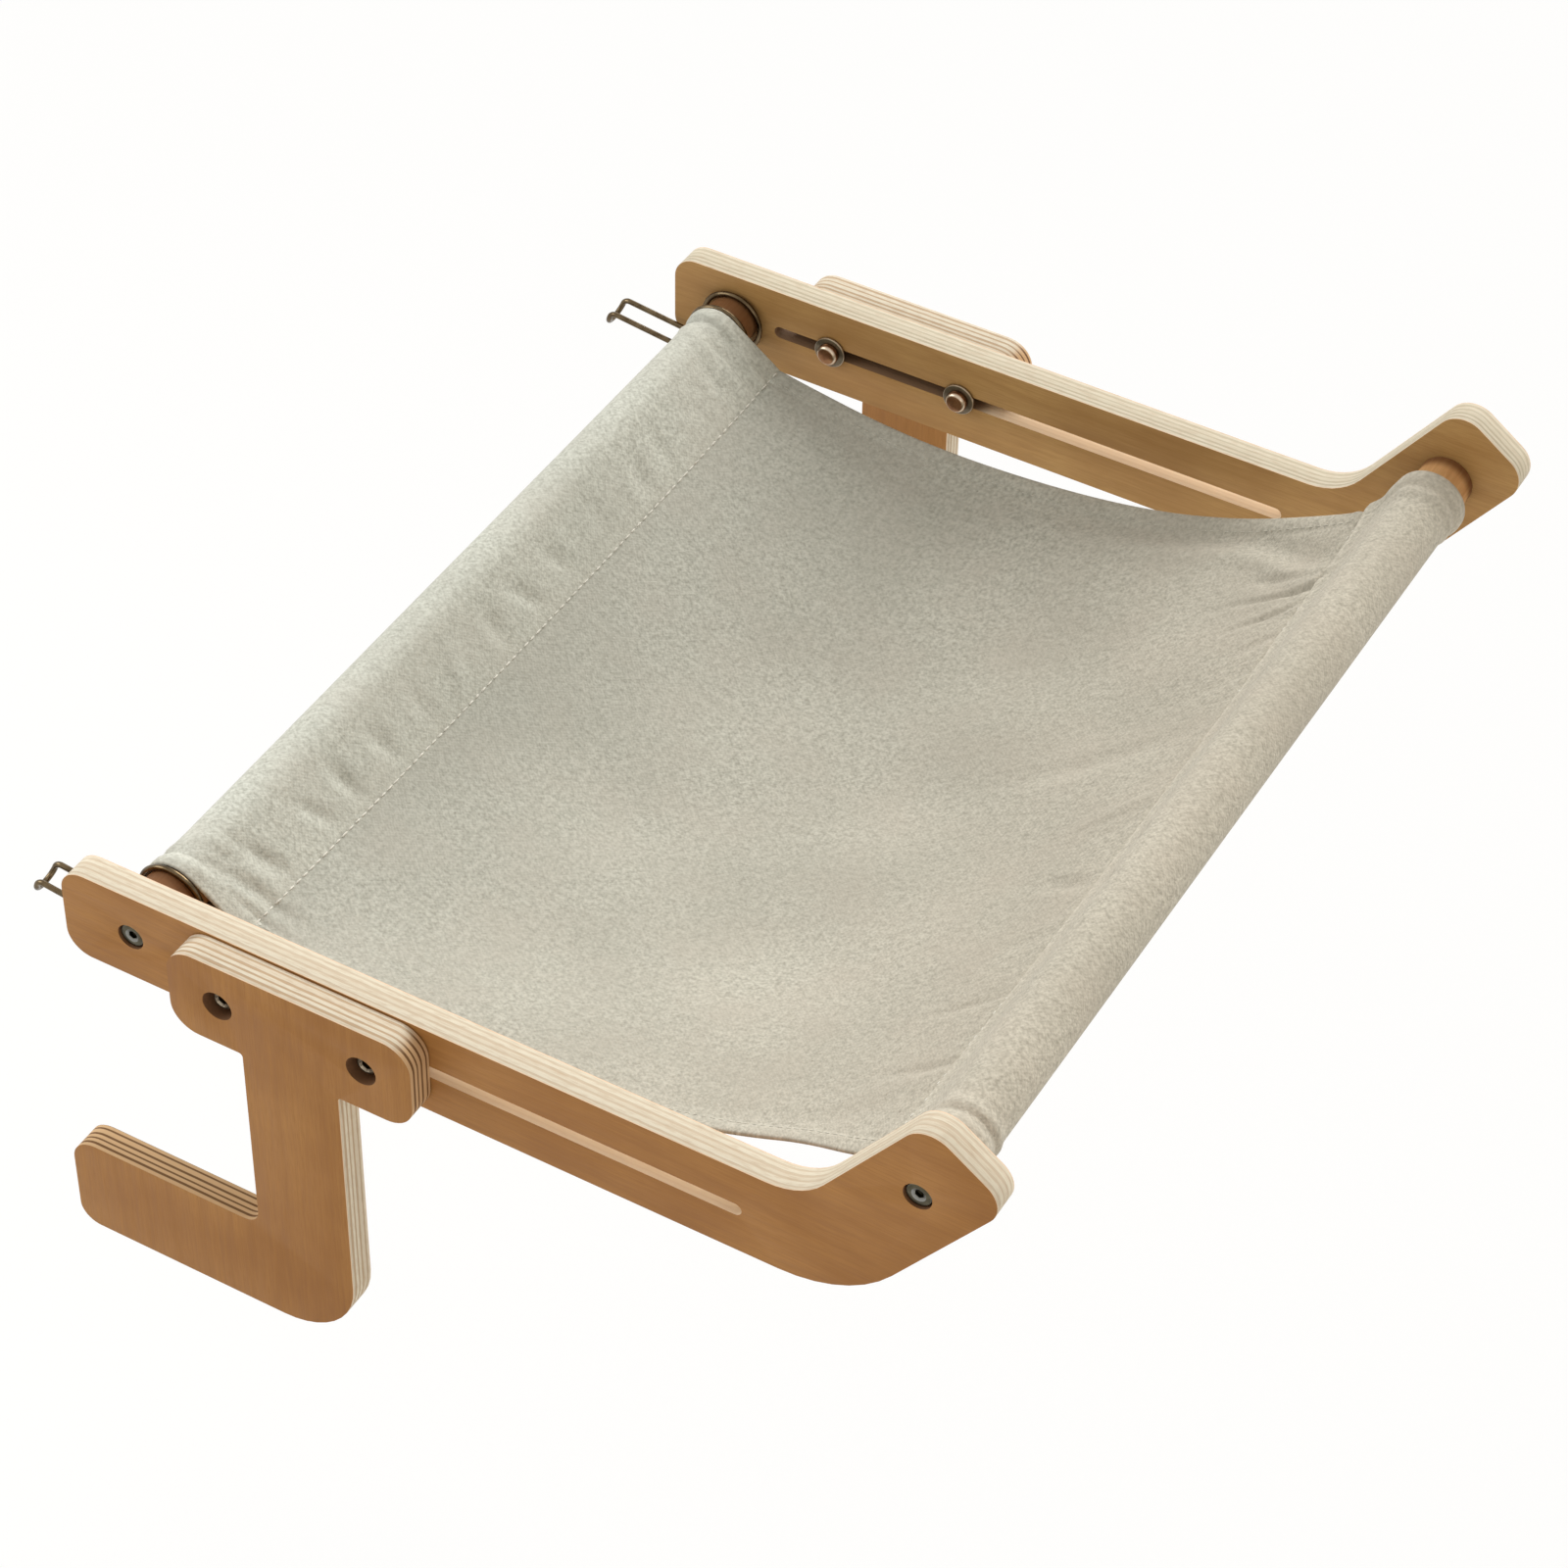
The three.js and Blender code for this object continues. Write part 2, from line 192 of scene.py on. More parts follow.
def wood_grain_group():
    """Streaks, pores and the arched figure of rotary-cut veneer, with the grain along X."""
    tree, start, end = node_group(
        "wood_grain",
        [("Vector", "Vector"), ("Streak Width", "Float"), ("Figure Width", "Float")],
        [("Streaks", "Float"), ("Figure", "Float"), ("Pores", "Float"), ("Fibres", "Float")],
    )

    def drawn_out(share):
        """The place with its step along the grain shrunk, so that what is laid on it runs long."""
        return node(tree, "ShaderNodeMapping", {0: start.outputs[0], 3: (share, 1, 1)}).outputs[0]

    across = sums("DIVIDE", 1.0, start.outputs[1])
    streaks = noise(drawn_out(0.05), across, 4.0, 0.62)
    height = node(tree, "ShaderNodeSeparateXYZ", {0: start.outputs[0]}).outputs[2]
    sway = times(noise(drawn_out(0.3), 14.0), 0.09)
    turns = sums("DIVIDE", plus(height, sway), start.outputs[2])
    wave = sums("SINE", times(turns, math.tau))
    figure = sums("POWER", ranged(wave, -1.0, 1.0), 7.0)
    pores = node(tree, "ShaderNodeTexVoronoi", {"Vector": drawn_out(0.12), "Scale": 900.0})
    pore = ranged(pores.outputs["Distance"], 0.10, 0.40)
    fibres = noise(drawn_out(0.035), 1500.0)
    return give_out(tree, end, streaks, figure, pore, fibres)


def ply_layers_group():
    """Light and dark plies, glue lines and outer veneers, from the depth in the panel."""
    tree, start, end = node_group(
        "ply_layers",
        [("Depth", "Float"), ("Vector", "Vector"), ("Seed", "Float")],
        [("Dark Ply", "Float"), ("Glue", "Float"), ("Veneer", "Float"), ("Shade", "Float")],
    )
    whole_depth, place, offset = start.outputs[:3]
    wobble = noise(place, 28.0)
    moved = times(sums("SUBTRACT", wobble, 0.5), 0.03)
    through = plus(times(whole_depth, 3.6), offset)
    plain_noise = {"W": through, "Scale": 1.0, "Detail": 0.0}
    uneven = node(tree, "ShaderNodeTexNoise", plain_noise, noise_dimensions="1D")
    shifted = times(sums("SUBTRACT", uneven.outputs[0], 0.5), 0.09)
    depth = plus(whole_depth, plus(moved, shifted))
    turns = sums("DIVIDE", depth, PLY_PAIR)
    pair = sums("FLOOR", turns)
    within = sums("SUBTRACT", turns, pair)
    dark = times(ranged(within, LIGHT_PLY - 0.03, LIGHT_PLY + 0.05, smooth=True),
                 ranged(within, 0.92, 1.0, 1.0, 0.0, smooth=True))
    at_joint = ranged(away_from(within, LIGHT_PLY), 0.0, 0.05, 1.0, 0.0)
    glue = sums("MAXIMUM", at_joint, ranged(within, 0.93, 1.0))
    patches = noise(place, 110.0, 3.0)
    strength = times(glue, ranged(patches, 0.42, 0.66))
    which = plus(pair, plus(offset, times(dark, 0.5)))
    seed = node(tree, "ShaderNodeTexWhiteNoise", {"W": which}, noise_dimensions="1D")
    to_face = away_from(whole_depth, 0.5)
    veneer = ranged(to_face, 0.5 - VENEER_SHARE, 0.5 - 0.6 * VENEER_SHARE)
    return give_out(tree, end, dark, strength, veneer, seed.outputs[0])


WOOD_GRAIN = wood_grain_group()
PLY_LAYERS = ply_layers_group()


def plywood(name, lowest, highest, grain_turn, seed, contrast, dark_edge, tone=(1, 1, 1, 1), slot=None):
    """Plywood between two Y values, its face grain turned about Y, with an offset for its figure.
    A slot is given by its height and by the ends of the length on which shade is painted."""
    material, tree, surface = new_material(name)
    place = object_place(tree)
    turns = {0: place, 1: (seed, 0, seed), 2: (0, grain_turn, 0)}
    on_grain = node(tree, "ShaderNodeMapping", turns).outputs[0]
    grain = placed_group(tree, WOOD_GRAIN, {0: on_grain, 1: 0.0020, 2: 0.021}).outputs
    split = node(tree, "ShaderNodeSeparateXYZ", {0: place}).outputs
    depth = ranged(split[1], lowest, highest)
    layers = placed_group(tree, PLY_LAYERS, {0: depth, 1: place, 2: 7 * seed}).outputs
    broad = noise(on_grain, 16.0, 3.0)

    shade = plus(times(grain["Streaks"], 0.36), times(broad, 0.64))
    face = mixed(ranged(shade, 0.30, 0.70), FACE_DARK, FACE_LIGHT)
    face = mixed(times(grain["Figure"], 0.30), face, FACE_DARK)
    face = mixed(times(rest_of(grain["Pores"]), 0.30), face, FACE_DARK)
    face = mixed(ranged(grain["Fibres"], 0.42, 0.66, 0.0, 0.34), face, FACE_DARK)
    # The tone paints the far rail's face paler, as light; for the other panels it changes nothing.
    face = mixed(1.0, face, tone, "MULTIPLY")

    edge = mixed(times(layers["Dark Ply"], contrast), EDGE_CREAM, dark_edge)
    edge = mixed(times(layers["Shade"], 0.30), edge, dark_edge)
    edge = mixed(times(layers["Glue"], contrast), edge, EDGE_GLUE)
    edge = mixed(layers["Veneer"], edge, EDGE_VENEER)
    through_plies = node(tree, "ShaderNodeMapping", {0: place, 3: (1, 9, 1)}).outputs[0]
    flecks = noise(through_plies, 160.0, 3.0)
    edge = mixed(ranged(flecks, 0.48, 0.74, 0.0, 0.50), edge, EDGE_TAN)
    # Painted shade: edges marked for it turn dark brown, with the plies still showing.
    shaded_edge = mixed(layers["Dark Ply"], SHADED_EDGE_LIGHT, SHADED_EDGE_DARK)
    edge = mixed(painted(tree, "edge_shade"), edge, shaded_edge)
    # Painted shade in the counterbores.
    edge = mixed(painted(tree, "bore_shade_paint"), edge, BORE_SHADE)
    if slot:
        height, first, last = slot
        on_line = sums("LESS_THAN", away_from(split[2], height), SLOT_HALF)
        slot_half_length = (SLOT_ENDS[1] - SLOT_ENDS[0]) / 2
        from_slot_middle = away_from(split[0], sum(SLOT_ENDS) / 2)
        between_ends = sums("LESS_THAN", from_slot_middle, slot_half_length)
        in_slot = times(on_line, between_ends)
        # Painted shade in the slot between the ends past the bolts.
        shaded_length = times(ranged(split[0], first, first + SHADE_FADES, smooth=True),
                         ranged(split[0], last - SHADE_FADES, last, 1.0, 0.0, smooth=True))
        edge = mixed(times(in_slot, 0.7), edge, SLOT_FRESH)
        edge = mixed(times(times(in_slot, shaded_length), 0.86), edge, SLOT_SHADE)

    is_face = sums("GREATER_THAN", away_from(depth, 0.5), 0.5 - FACE_SHARE)
    rough = ranged(grain["Streaks"], 0.3, 0.7, 0.50, 0.64)
    edge_dulls = times(rest_of(is_face), 0.14)
    fill(surface, {"Base Color": mixed(is_face, edge, face), "Roughness": plus(rough, edge_dulls),
                   "Specular IOR Level": 0.28})
    relief = plus(times(grain["Streaks"], 0.6), times(layers["Dark Ply"], -0.5))
    finish_bump(tree, surface, relief, 0.35, 0.00025)
    return material


def middle(cad_node):
    low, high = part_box(cad_node)
    return (low + high) / 2


def spots_of(mesh):
    spots = np.empty(len(mesh.vertices) * 3)
    mesh.vertices.foreach_get("co", spots)
    return spots.reshape(-1, 3)


def paint(mesh, name, values):
    painted = mesh.attributes.new(name, "FLOAT", "POINT")
    painted.data.foreach_set("value", np.asarray(values, dtype=np.float32))


def shade_bores(mesh, *cad_nodes):
    """Paints shade on the walls and floors of the counterbores round these screws."""
    spots = spots_of(mesh)
    inside = np.zeros(len(spots), dtype=bool)
    for cad_node in cad_nodes:
        axis = middle(cad_node)
        inside |= np.hypot(spots[:, 0] - axis.x, spots[:, 2] - axis.z) < BORE_REACH
    paint(mesh, "bore_shade_paint", inside)


def placed(name, data):
    """An object for this data, in the scene."""
    made = bpy.data.objects.new(name, data)
    bpy.context.scene.collection.objects.link(made)
    return made


def eased_copy(cad_node, name, width=EASED_EDGE):
    """The CAD piece as one closed mesh with eased edges and smooth curves, standing for its node."""
    piece = placed(name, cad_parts[cad_node].data.copy())
    shape = bmesh.new()
    shape.from_mesh(piece.data)
    bmesh.ops.remove_doubles(shape, verts=shape.verts, dist=1e-5)
    bmesh.ops.dissolve_limit(shape, angle_limit=math.radians(0.5), verts=shape.verts, edges=shape.edges)
    shape.to_mesh(piece.data)
    shape.free()
    piece.data.materials.clear()
    piece.data.shade_smooth()
    bevel = piece.modifiers.new("eased_edges", "BEVEL")
    bevel.width, bevel.segments, bevel.angle_limit = width, 3, math.radians(32)
    bevel.harden_normals = True
    settle(piece)
    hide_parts(cad_node)
    return piece


def settle(piece):
    """Turns the piece's modifiers into its plain mesh."""
    graph = bpy.context.evaluated_depsgraph_get()
    result = piece.evaluated_get(graph)
    piece.data = bpy.data.meshes.new_from_object(result, preserve_all_data_layers=True, depsgraph=graph)
    piece.modifiers.clear()


RAIL_SHEETS = {"left": (0.13, 0.32, EDGE_TAN, (1, 1, 1, 1)), "right": (0.71, 0.58, EDGE_OLIVE, FAR_FACE_LIGHT)}
for side, sheet_looks in RAIL_SHEETS.items():
    rail = eased_copy(f"{side}_side_rail", f"{side}_rail_panel")
    low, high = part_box(f"{side}_side_rail")
    rear_bolt, front_bolt = middle(f"{side}_rear_hook_bolt"), middle(f"{side}_front_hook_bolt")
    slot = (rear_bolt.z, rear_bolt.x - SHADE_PAST_BOLTS[0], front_bolt.x + SHADE_PAST_BOLTS[1])
    rail.data.materials.append(plywood(f"{side}_rail_plywood", low.y, high.y, 0.0, *sheet_looks, slot))
    shade_bores(rail.data, f"{side}_rear_dowel_screw", f"{side}_front_dowel_screw")
    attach(rail, "frame")

# Sill hooks: the same plywood, one J-shaped panel outside each rail, with the face grain
# upright. Shade is painted on the foot's upper edge and the head's front end.
HOOK_SEEDS = {"left": 0.37, "right": 0.05}
SHADED_END = 0.010             # length of the head's front end that has painted shade
HEAD_REACH = 0.054              # from the head's top to past its lower edge
HEAD_PAST_STEM = 0.053          # from the head's front end back to the stem's rear edge
FOOT_TOP = (0.030, 0.100)       # least drop from the foot's upper edge to its base, and to it from the head


def soft_step(x, low, high):
    t = np.clip((x - low) / (high - low), 0, 1)
    return t * t * (3 - 2 * t)


for side, seed in HOOK_SEEDS.items():
    hook = eased_copy(f"{side}_sill_hook", f"{side}_hook_panel")
    low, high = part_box(f"{side}_sill_hook")
    sheet = plywood(f"{side}_hook_plywood", low.y, high.y, math.pi / 2, seed, 1.0, EDGE_TAN)
    hook.data.materials.append(sheet)
    x, _, z = spots_of(hook.data).T
    on_head = z > high.z - HEAD_REACH
    # Painted shade on the head's front end and on the foot's upper edge.
    at_front_end = soft_step(x, high.x - SHADED_END, high.x - 0.4 * SHADED_END)
    stem_rear = x[~on_head].max() - HEAD_PAST_STEM
    on_foot_top = (x < stem_rear + 0.002) & (z > low.z + FOOT_TOP[0]) & (z < high.z - FOOT_TOP[1])
    paint(hook.data, "edge_shade", np.where(on_head, at_front_end, on_foot_top * 1.0))
    shade_bores(hook.data, f"{side}_rear_hook_bolt", f"{side}_front_hook_bolt")
    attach(hook, f"{side}_hook")

# Dowels: two turned rods of close-grained hardwood that butt against the rails.
DOWEL_EASED = 0.0009
DOWEL_LIGHT = (0.740, 0.430, 0.195, 1)
DOWEL_DARK = (0.560, 0.285, 0.115, 1)
# Painted shade on each dowel's ends beside the rails.
DOWEL_END_SHADE = (0.150, 0.055, 0.018, 1)
END_SHADE_REACH = {"rear": (0.014, 0.026), "front": (0.002, 0.009)}    # from each rail: full, and none


def dowel_wood(name, low_y, high_y, shade_reach):
    """Hardwood with painted shade near both ends, beside the rails."""
    material, tree, surface = new_material(name)
    place = object_place(tree)
    on_grain = node(tree, "ShaderNodeMapping", {0: place, 2: (0, 0, math.pi / 2)}).outputs[0]
    grain = placed_group(tree, WOOD_GRAIN, {0: on_grain, 1: 0.0013, 2: 0.009}).outputs
    tone = plus(times(grain["Streaks"], 0.8), times(grain["Figure"], 0.2))
    colour = mixed(ranged(tone, 0.3, 0.7), DOWEL_LIGHT, DOWEL_DARK)
    colour = mixed(times(rest_of(grain["Pores"]), 0.35), colour, DOWEL_DARK)
    along_y = node(tree, "ShaderNodeSeparateXYZ", {0: place}).outputs[1]
    from_middle = away_from(along_y, (high_y + low_y) / 2)
    to_end = sums("SUBTRACT", (high_y - low_y) / 2, from_middle)
    dark = ranged(to_end, *shade_reach, 0.85, 0.0, smooth=True)
    fill(surface, {"Base Color": mixed(dark, colour, DOWEL_END_SHADE),
                   "Roughness": ranged(grain["Streaks"], 0.3, 0.7, 0.46, 0.62),
                   "Specular IOR Level": 0.22})
    finish_bump(tree, surface, grain["Streaks"], 0.3, 0.0002)
    return material


for end, shade_reach in END_SHADE_REACH.items():
    rod = eased_copy(f"{end}_dowel", f"{end}_dowel_rod", DOWEL_EASED)
    low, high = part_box(f"{end}_dowel")
    rod.data.materials.append(dowel_wood(f"{end}_dowel_wood", low.y, high.y, shade_reach))
    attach(rod, "frame")

# Dowel screws: zinc-plated cap screws with a hexagon socket, one in each end of each dowel,
# with their heads just under the rails' outer faces.
DOWEL_SCREW = {"head_r": 0.0062, "head_h": 0.004, "key_r": 0.0023, "key_depth": 0.0026, "cone_r": 0.0033,
               "shank_r": 0.003, "reach": 0.055, "bare_and_highlight": 1.0}
STEEL_DARK = (0.058, 0.050, 0.030, 1)
STEEL_LIGHT = (0.108, 0.096, 0.062, 1)
# Bare steel for wear and a painted highlight on each screw's socket rim.
STEEL_HIGHLIGHT = (0.250, 0.245, 0.225, 1)


def plated_steel(name, dark, light, bare_and_highlight, roughness):
    """Plated metal with fine marks and faint clouds, made bright where its attribute paints wear and a
    highlight.
    """
    material, tree, surface = new_material(name)
    place = object_place(tree)
    clouds = noise(place, 170.0, 3.0)
    marks = noise(place, 2400.0)
    colour = mixed(ranged(clouds, 0.35, 0.7), light, dark)
    fill(surface, {"Base Color": mixed(painted(tree, "wear_and_highlight"), colour, bare_and_highlight), "Metallic": 1.0,
                   "Roughness": ranged(clouds, 0.3, 0.7, roughness, roughness + 0.10)})
    finish_bump(tree, surface, marks, 0.10, 0.00004)
    return material


def face_outward(mesh):
    shape = bmesh.new()
    shape.from_mesh(mesh)
    bmesh.ops.recalc_face_normals(shape, faces=shape.faces)
    shape.to_mesh(mesh)
    shape.free()
    mesh.shade_smooth()


def turned(name, rings, toward, sides=48):
    """A turned piece on the Y axis from rings of (radius, depth, is it a hexagon, how much wear and painted
    highlight), closed at both ends. Depth runs into the wood, and toward is -1 or 1, the side on which its
    head shows."""
    angles = np.arange(sides) * math.tau / sides
    hexagon = math.cos(math.pi / 6) / np.cos((angles + math.pi / 6) % (math.pi / 3) - math.pi / 6)
    spots = []
    for radius, depth, is_hexagon, _ in rings:
        around = radius * (hexagon if is_hexagon else np.ones(sides))
        spots += zip(around * np.cos(angles), [-toward * depth] * sides, around * np.sin(angles))
    first, last = rings[0][1], rings[-1][1]
    spots += [(0, -toward * first, 0), (0, -toward * last, 0)]
    faces = []
    for k in range(sides):
        after = (k + 1) % sides
        for j in range(len(rings) - 1):
            a, b = j * sides, (j + 1) * sides
            faces.append((a + k, a + after, b + after, b + k))
        faces.append((len(spots) - 2, after, k))
        top = (len(rings) - 1) * sides
        faces.append((len(spots) - 1, top + k, top + after))
    mesh = bpy.data.meshes.new(name)
    mesh.from_pydata([tuple(map(float, s)) for s in spots], [], faces)
    face_outward(mesh)
    mesh.set_sharp_from_angle(angle=math.radians(35))
    shine = [ring[3] for ring in rings]
    paint(mesh, "wear_and_highlight", np.append(np.repeat(shine, sides), [shine[0], shine[-1]]))
    return placed(name, mesh)


def socket_head(head_r, head_h, key_r, key_depth, cone_r, shank_r, reach, bare_and_highlight):
    """Rings of a cap screw, from the floor of its socket up its cone, round the head and to its tip."""
    edge = 0.14 * head_h
    cone_depth = 0.30 * key_depth
    # The socket's rim and the head's edge carry wear and a painted highlight.
    return [
        (key_r * 0.3, key_depth * 1.15, True, 0), (key_r, key_depth, True, 0), (key_r, cone_depth, True, 0),
        (key_r * 1.10, cone_depth * 0.85, True, bare_and_highlight * 0.7), (cone_r, edge * 0.2, False, bare_and_highlight),
        (cone_r * 1.05, 0, False, bare_and_highlight), (cone_r * 1.10, 0, False, 0), (head_r - edge, 0, False, 0),
        (head_r - edge * 0.3, edge * 0.3, False, bare_and_highlight * 0.5), (head_r, edge, False, bare_and_highlight * 0.2),
        (head_r, head_h - edge * 0.5, False, 0), (head_r - edge * 0.5, head_h, False, 0),
        (shank_r, head_h, False, 0), (shank_r, head_h + reach - shank_r * 0.3, False, 0),
        (shank_r * 0.7, head_h + reach, False, 0),
    ]


def geometry_tree(name, inputs):
    """An empty geometry tree with its named inputs, given as (title, kind) beside the geometry."""
    geometry = ("Geometry", "Geometry")
    sockets = (geometry, *inputs, ("Finish", "Material"))
    tree, start, end = node_group(name, sockets, [geometry], "GeometryNodeTree")
    return tree, start.outputs, end.inputs[0]


def dress(tree, geometry, start, end):
    """Ends a geometry tree with real geometry that has its finish on."""
    real = node(tree, "GeometryNodeRealizeInstances", {0: geometry})
    finish = {"Geometry": real.outputs[0], "Material": start["Finish"]}
    dressed = node(tree, "GeometryNodeSetMaterial", finish)
    tree.links.new(dressed.outputs[0], end)


def set_out_tree():
    """Lays copies of one fastener along a straight line, each at a step from the last."""
    sockets = (("Fastener", "Object"), ("Count", "Int"), ("Start", "Vector"), ("Step", "Vector"))
    tree, start, end = geometry_tree("fasteners_set_out", sockets)
    along = {"Count": start["Count"], "Start Location": start["Start"], "Offset": start["Step"]}
    line = node(tree, "GeometryNodeMeshLine", along, mode="OFFSET")
    one = node(tree, "GeometryNodeObjectInfo", {"Object": start["Fastener"]})
    copied = {"Points": line.outputs[0], "Instance": one.outputs["Geometry"]}
    dress(tree, node(tree, "GeometryNodeInstanceOnPoints", copied).outputs[0], start, end)
    return tree


def with_tree(piece, tree, values):
    """Runs a geometry tree on the piece with its inputs set by their sockets' identifiers."""
    modifier = piece.modifiers.new(tree.name, "NODES")
    modifier.node_group = tree
    for item in tree.interface.items_tree:
        if item.in_out == "INPUT" and item.name in values:
            modifier[item.identifier] = values[item.name]
    settle(piece)


SET_OUT = set_out_tree()


def set_out(name, fastener, start, step, finish):
    """The rear fastener and the front one as one piece, which takes the place of the fastener's form."""
    piece = placed(name, bpy.data.meshes.new(name))
    settings = {"Fastener": fastener, "Count": 2, "Start": start, "Step": step, "Finish": finish}
    with_tree(piece, SET_OUT, settings)
    bpy.data.objects.remove(fastener)
    return piece


STEEL = plated_steel("plated_steel", STEEL_DARK, STEEL_LIGHT, STEEL_HIGHLIGHT, 0.24)
for side, toward in (("left", -1), ("right", 1)):
    low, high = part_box(f"{side}_rear_dowel_screw")
    start = middle(f"{side}_rear_dowel_screw")
    step = middle(f"{side}_front_dowel_screw") - start
    start.y = low.y if toward < 0 else high.y
    screw = turned(f"{side}_dowel_screw_form", socket_head(**DOWEL_SCREW), toward)
    screws = set_out(f"{side}_dowel_cap_screws", screw, start, step, STEEL)
    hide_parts(f"{side}_rear_dowel_screw", f"{side}_front_dowel_screw")
    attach(screws, "frame")

# Hook bolts: each hook is clamped to its rail by two M6 cap screws through the slot, with a
# wide washer and a low cap nut behind the rail, both bronze-plated.
HOOK_BOLT = {"head_r": 0.005, "head_h": 0.006, "key_r": 0.0029, "key_depth": 0.0034, "cone_r": 0.0033,
             "shank_r": 0.003, "bare_and_highlight": 0.35}
WASHER_R = 0.009
WASHER_BORE_R = 0.0033
NUT_R = 0.006
BRONZE_DARK = (0.190, 0.085, 0.038, 1)
BRONZE_LIGHT = (0.300, 0.150, 0.072, 1)
# Bright bronze for wear and painted highlights on the rims.
BRONZE_HIGHLIGHT = (0.620, 0.520, 0.390, 1)
WASHER_DARK = (0.085, 0.066, 0.042, 1)
WASHER_LIGHT = (0.170, 0.135, 0.092, 1)
BRONZE = plated_steel("bronzed_steel", BRONZE_DARK, BRONZE_LIGHT, BRONZE_HIGHLIGHT, 0.22)
DULL_BRONZE = plated_steel("dull_bronzed_steel", WASHER_DARK, WASHER_LIGHT, BRONZE_HIGHLIGHT, 0.28)
for side, toward in (("left", -1), ("right", 1)):
    start = middle(f"{side}_rear_hook_bolt")
    step = middle(f"{side}_front_hook_bolt") - start
    low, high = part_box(f"{side}_rear_hook_bolt")
    start.y = low.y if toward < 0 else high.y
    reach = high.y - low.y - HOOK_BOLT["head_h"]
    bolt = turned(f"{side}_bolt_form", socket_head(**HOOK_BOLT, reach=reach), toward)
    bolts = set_out(f"{side}_hook_cap_screws", bolt, start, step, DULL_BRONZE)
    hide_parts(f"{side}_rear_hook_bolt", f"{side}_front_hook_bolt")

    low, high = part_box(f"{side}_rear_hook_washer")
    start.y = high.y if toward < 0 else low.y
    thick = high.y - low.y
    # The washer's outer rim carries wear and a painted highlight.
    rings = [(WASHER_BORE_R, thick, False, 0), (WASHER_BORE_R, 0.0002, False, 0),
             (WASHER_BORE_R + 0.0002, 0, False, 0), (WASHER_R - 0.0006, 0, False, 0),
             (WASHER_R - 0.0002, 0.0002, False, 0.7), (WASHER_R, 0.0006, False, 0.7),
             (WASHER_R, thick - 0.0003, False, 0), (WASHER_R - 0.0003, thick, False, 0)]
    washer = turned(f"{side}_washer_form", rings, -toward)
    washers = set_out(f"{side}_hook_washers", washer, start, step, DULL_BRONZE)
    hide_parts(f"{side}_rear_hook_washer", f"{side}_front_hook_washer")

    low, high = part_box(f"{side}_rear_hook_nut")
    start.y = high.y if toward < 0 else low.y
    height = high.y - low.y
    # The dome's rounded rim carries wear and a painted highlight.
    domed = ((0.0048, 0.00002, 0), (0.0016, 0.0001, 0), (0.0010, 0.0003, 0.8), (0.0005, 0.0008, 0.8),
             (0.0001, 0.0016, 0.2), (0, 0.0022, 0))
    rings = [(NUT_R - inset, depth, False, shine) for inset, depth, shine in domed]
    rings += [(NUT_R, height - 0.0003, False, 0), (NUT_R - 0.0003, height, False, 0)]
    rings += [(0.0032, height, False, 0)]
    nut = turned(f"{side}_nut_form", rings, -toward)
    nuts = set_out(f"{side}_hook_cap_nuts", nut, start, step, BRONZE)
    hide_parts(f"{side}_rear_hook_nut", f"{side}_front_hook_nut")
    for piece in (bolts, washers, nuts):
        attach(piece, f"{side}_hook")

# Wire clips: each is bent from one length of bronzed spring wire. Two open rings hang on the
# rear dowel, and two legs run to a loop that is turned down behind the rail.
WIRE_R = 0.0015
RING_R = 0.017
RING_LEAVE = -78                # degrees round the dowel where the wire leaves a ring
RING_TURN = 312
BEND_R = 0.004
LEG_OFFSET = 0.012              # straight wire between a ring and the bend of its leg
LEG_LENGTH = 0.055
LEG_PITCH = 7.3                 # degrees below level
LOOP_TURN = 76                  # degrees by which the loop is turned down
CLIP_W = 0.014                  # between the two legs
WIRE_DARK = (0.075, 0.050, 0.026, 1)
WIRE_LIGHT = (0.160, 0.115, 0.064, 1)


def polar(r, degrees):
    return np.array([r * math.cos(math.radians(degrees)), r * math.sin(math.radians(degrees))])


def clip_line():
    """The clip's centreline about the middle of its rings: ring, leg, loop, leg and ring."""
    half = [polar(RING_R, RING_LEAVE + RING_TURN * (1 - k / 60)) for k in range(61)]
    heading = RING_LEAVE - 90

    def bend(turn, steps):
        nonlocal heading
        side = math.copysign(90, turn)
        centre = half[-1] + polar(BEND_R, heading + side)
        half.extend(centre + polar(BEND_R, heading - side + turn * k / steps) for k in range(1, steps + 1))
        heading += turn

    half.append(half[-1] + polar(LEG_OFFSET, heading))
    bend(-90 - LEG_PITCH - RING_LEAVE, 8)
    half.append(half[-1] + polar(LEG_LENGTH, heading))
    bend(LOOP_TURN, 12)
    down = polar(1, heading)
    loop = [(*(half[-1] + down * drop), across) for across, drop in
            (polar(CLIP_W / 2, 180 * k / 20) for k in range(1, 20))]
    far_leg = [(x, z, CLIP_W / 2) for x, z in half]
    near_leg = [(x, z, -CLIP_W / 2) for x, z in reversed(half)]
    return [(x, y, z) for x, z, y in far_leg + loop + near_leg]


def swept(tree, line, sides, radius, scale=1.0):
    """A smooth rod with closed ends along a line."""
    section = node(tree, "GeometryNodeCurvePrimitiveCircle", {"Resolution": sides, "Radius": radius})
    inputs = {"Curve": line, "Profile Curve": section.outputs[0], "Scale": scale, "Fill Caps": True}
    rod = node(tree, "GeometryNodeCurveToMesh", inputs)
    return node(tree, "GeometryNodeSetShadeSmooth", {"Geometry": rod.outputs[0]}).outputs[0]


def drawn_wire_tree():
    """Sweeps a round section along the object's own line and closes its ends."""
    tree, start, end = geometry_tree("drawn_wire", (("Radius", "Float"), ("Sides", "Int")))
    line = node(tree, "GeometryNodeMeshToCurve", {"Mesh": start["Geometry"]})
    dress(tree, swept(tree, line.outputs[0], start["Sides"], start["Radius"]), start, end)
    return tree


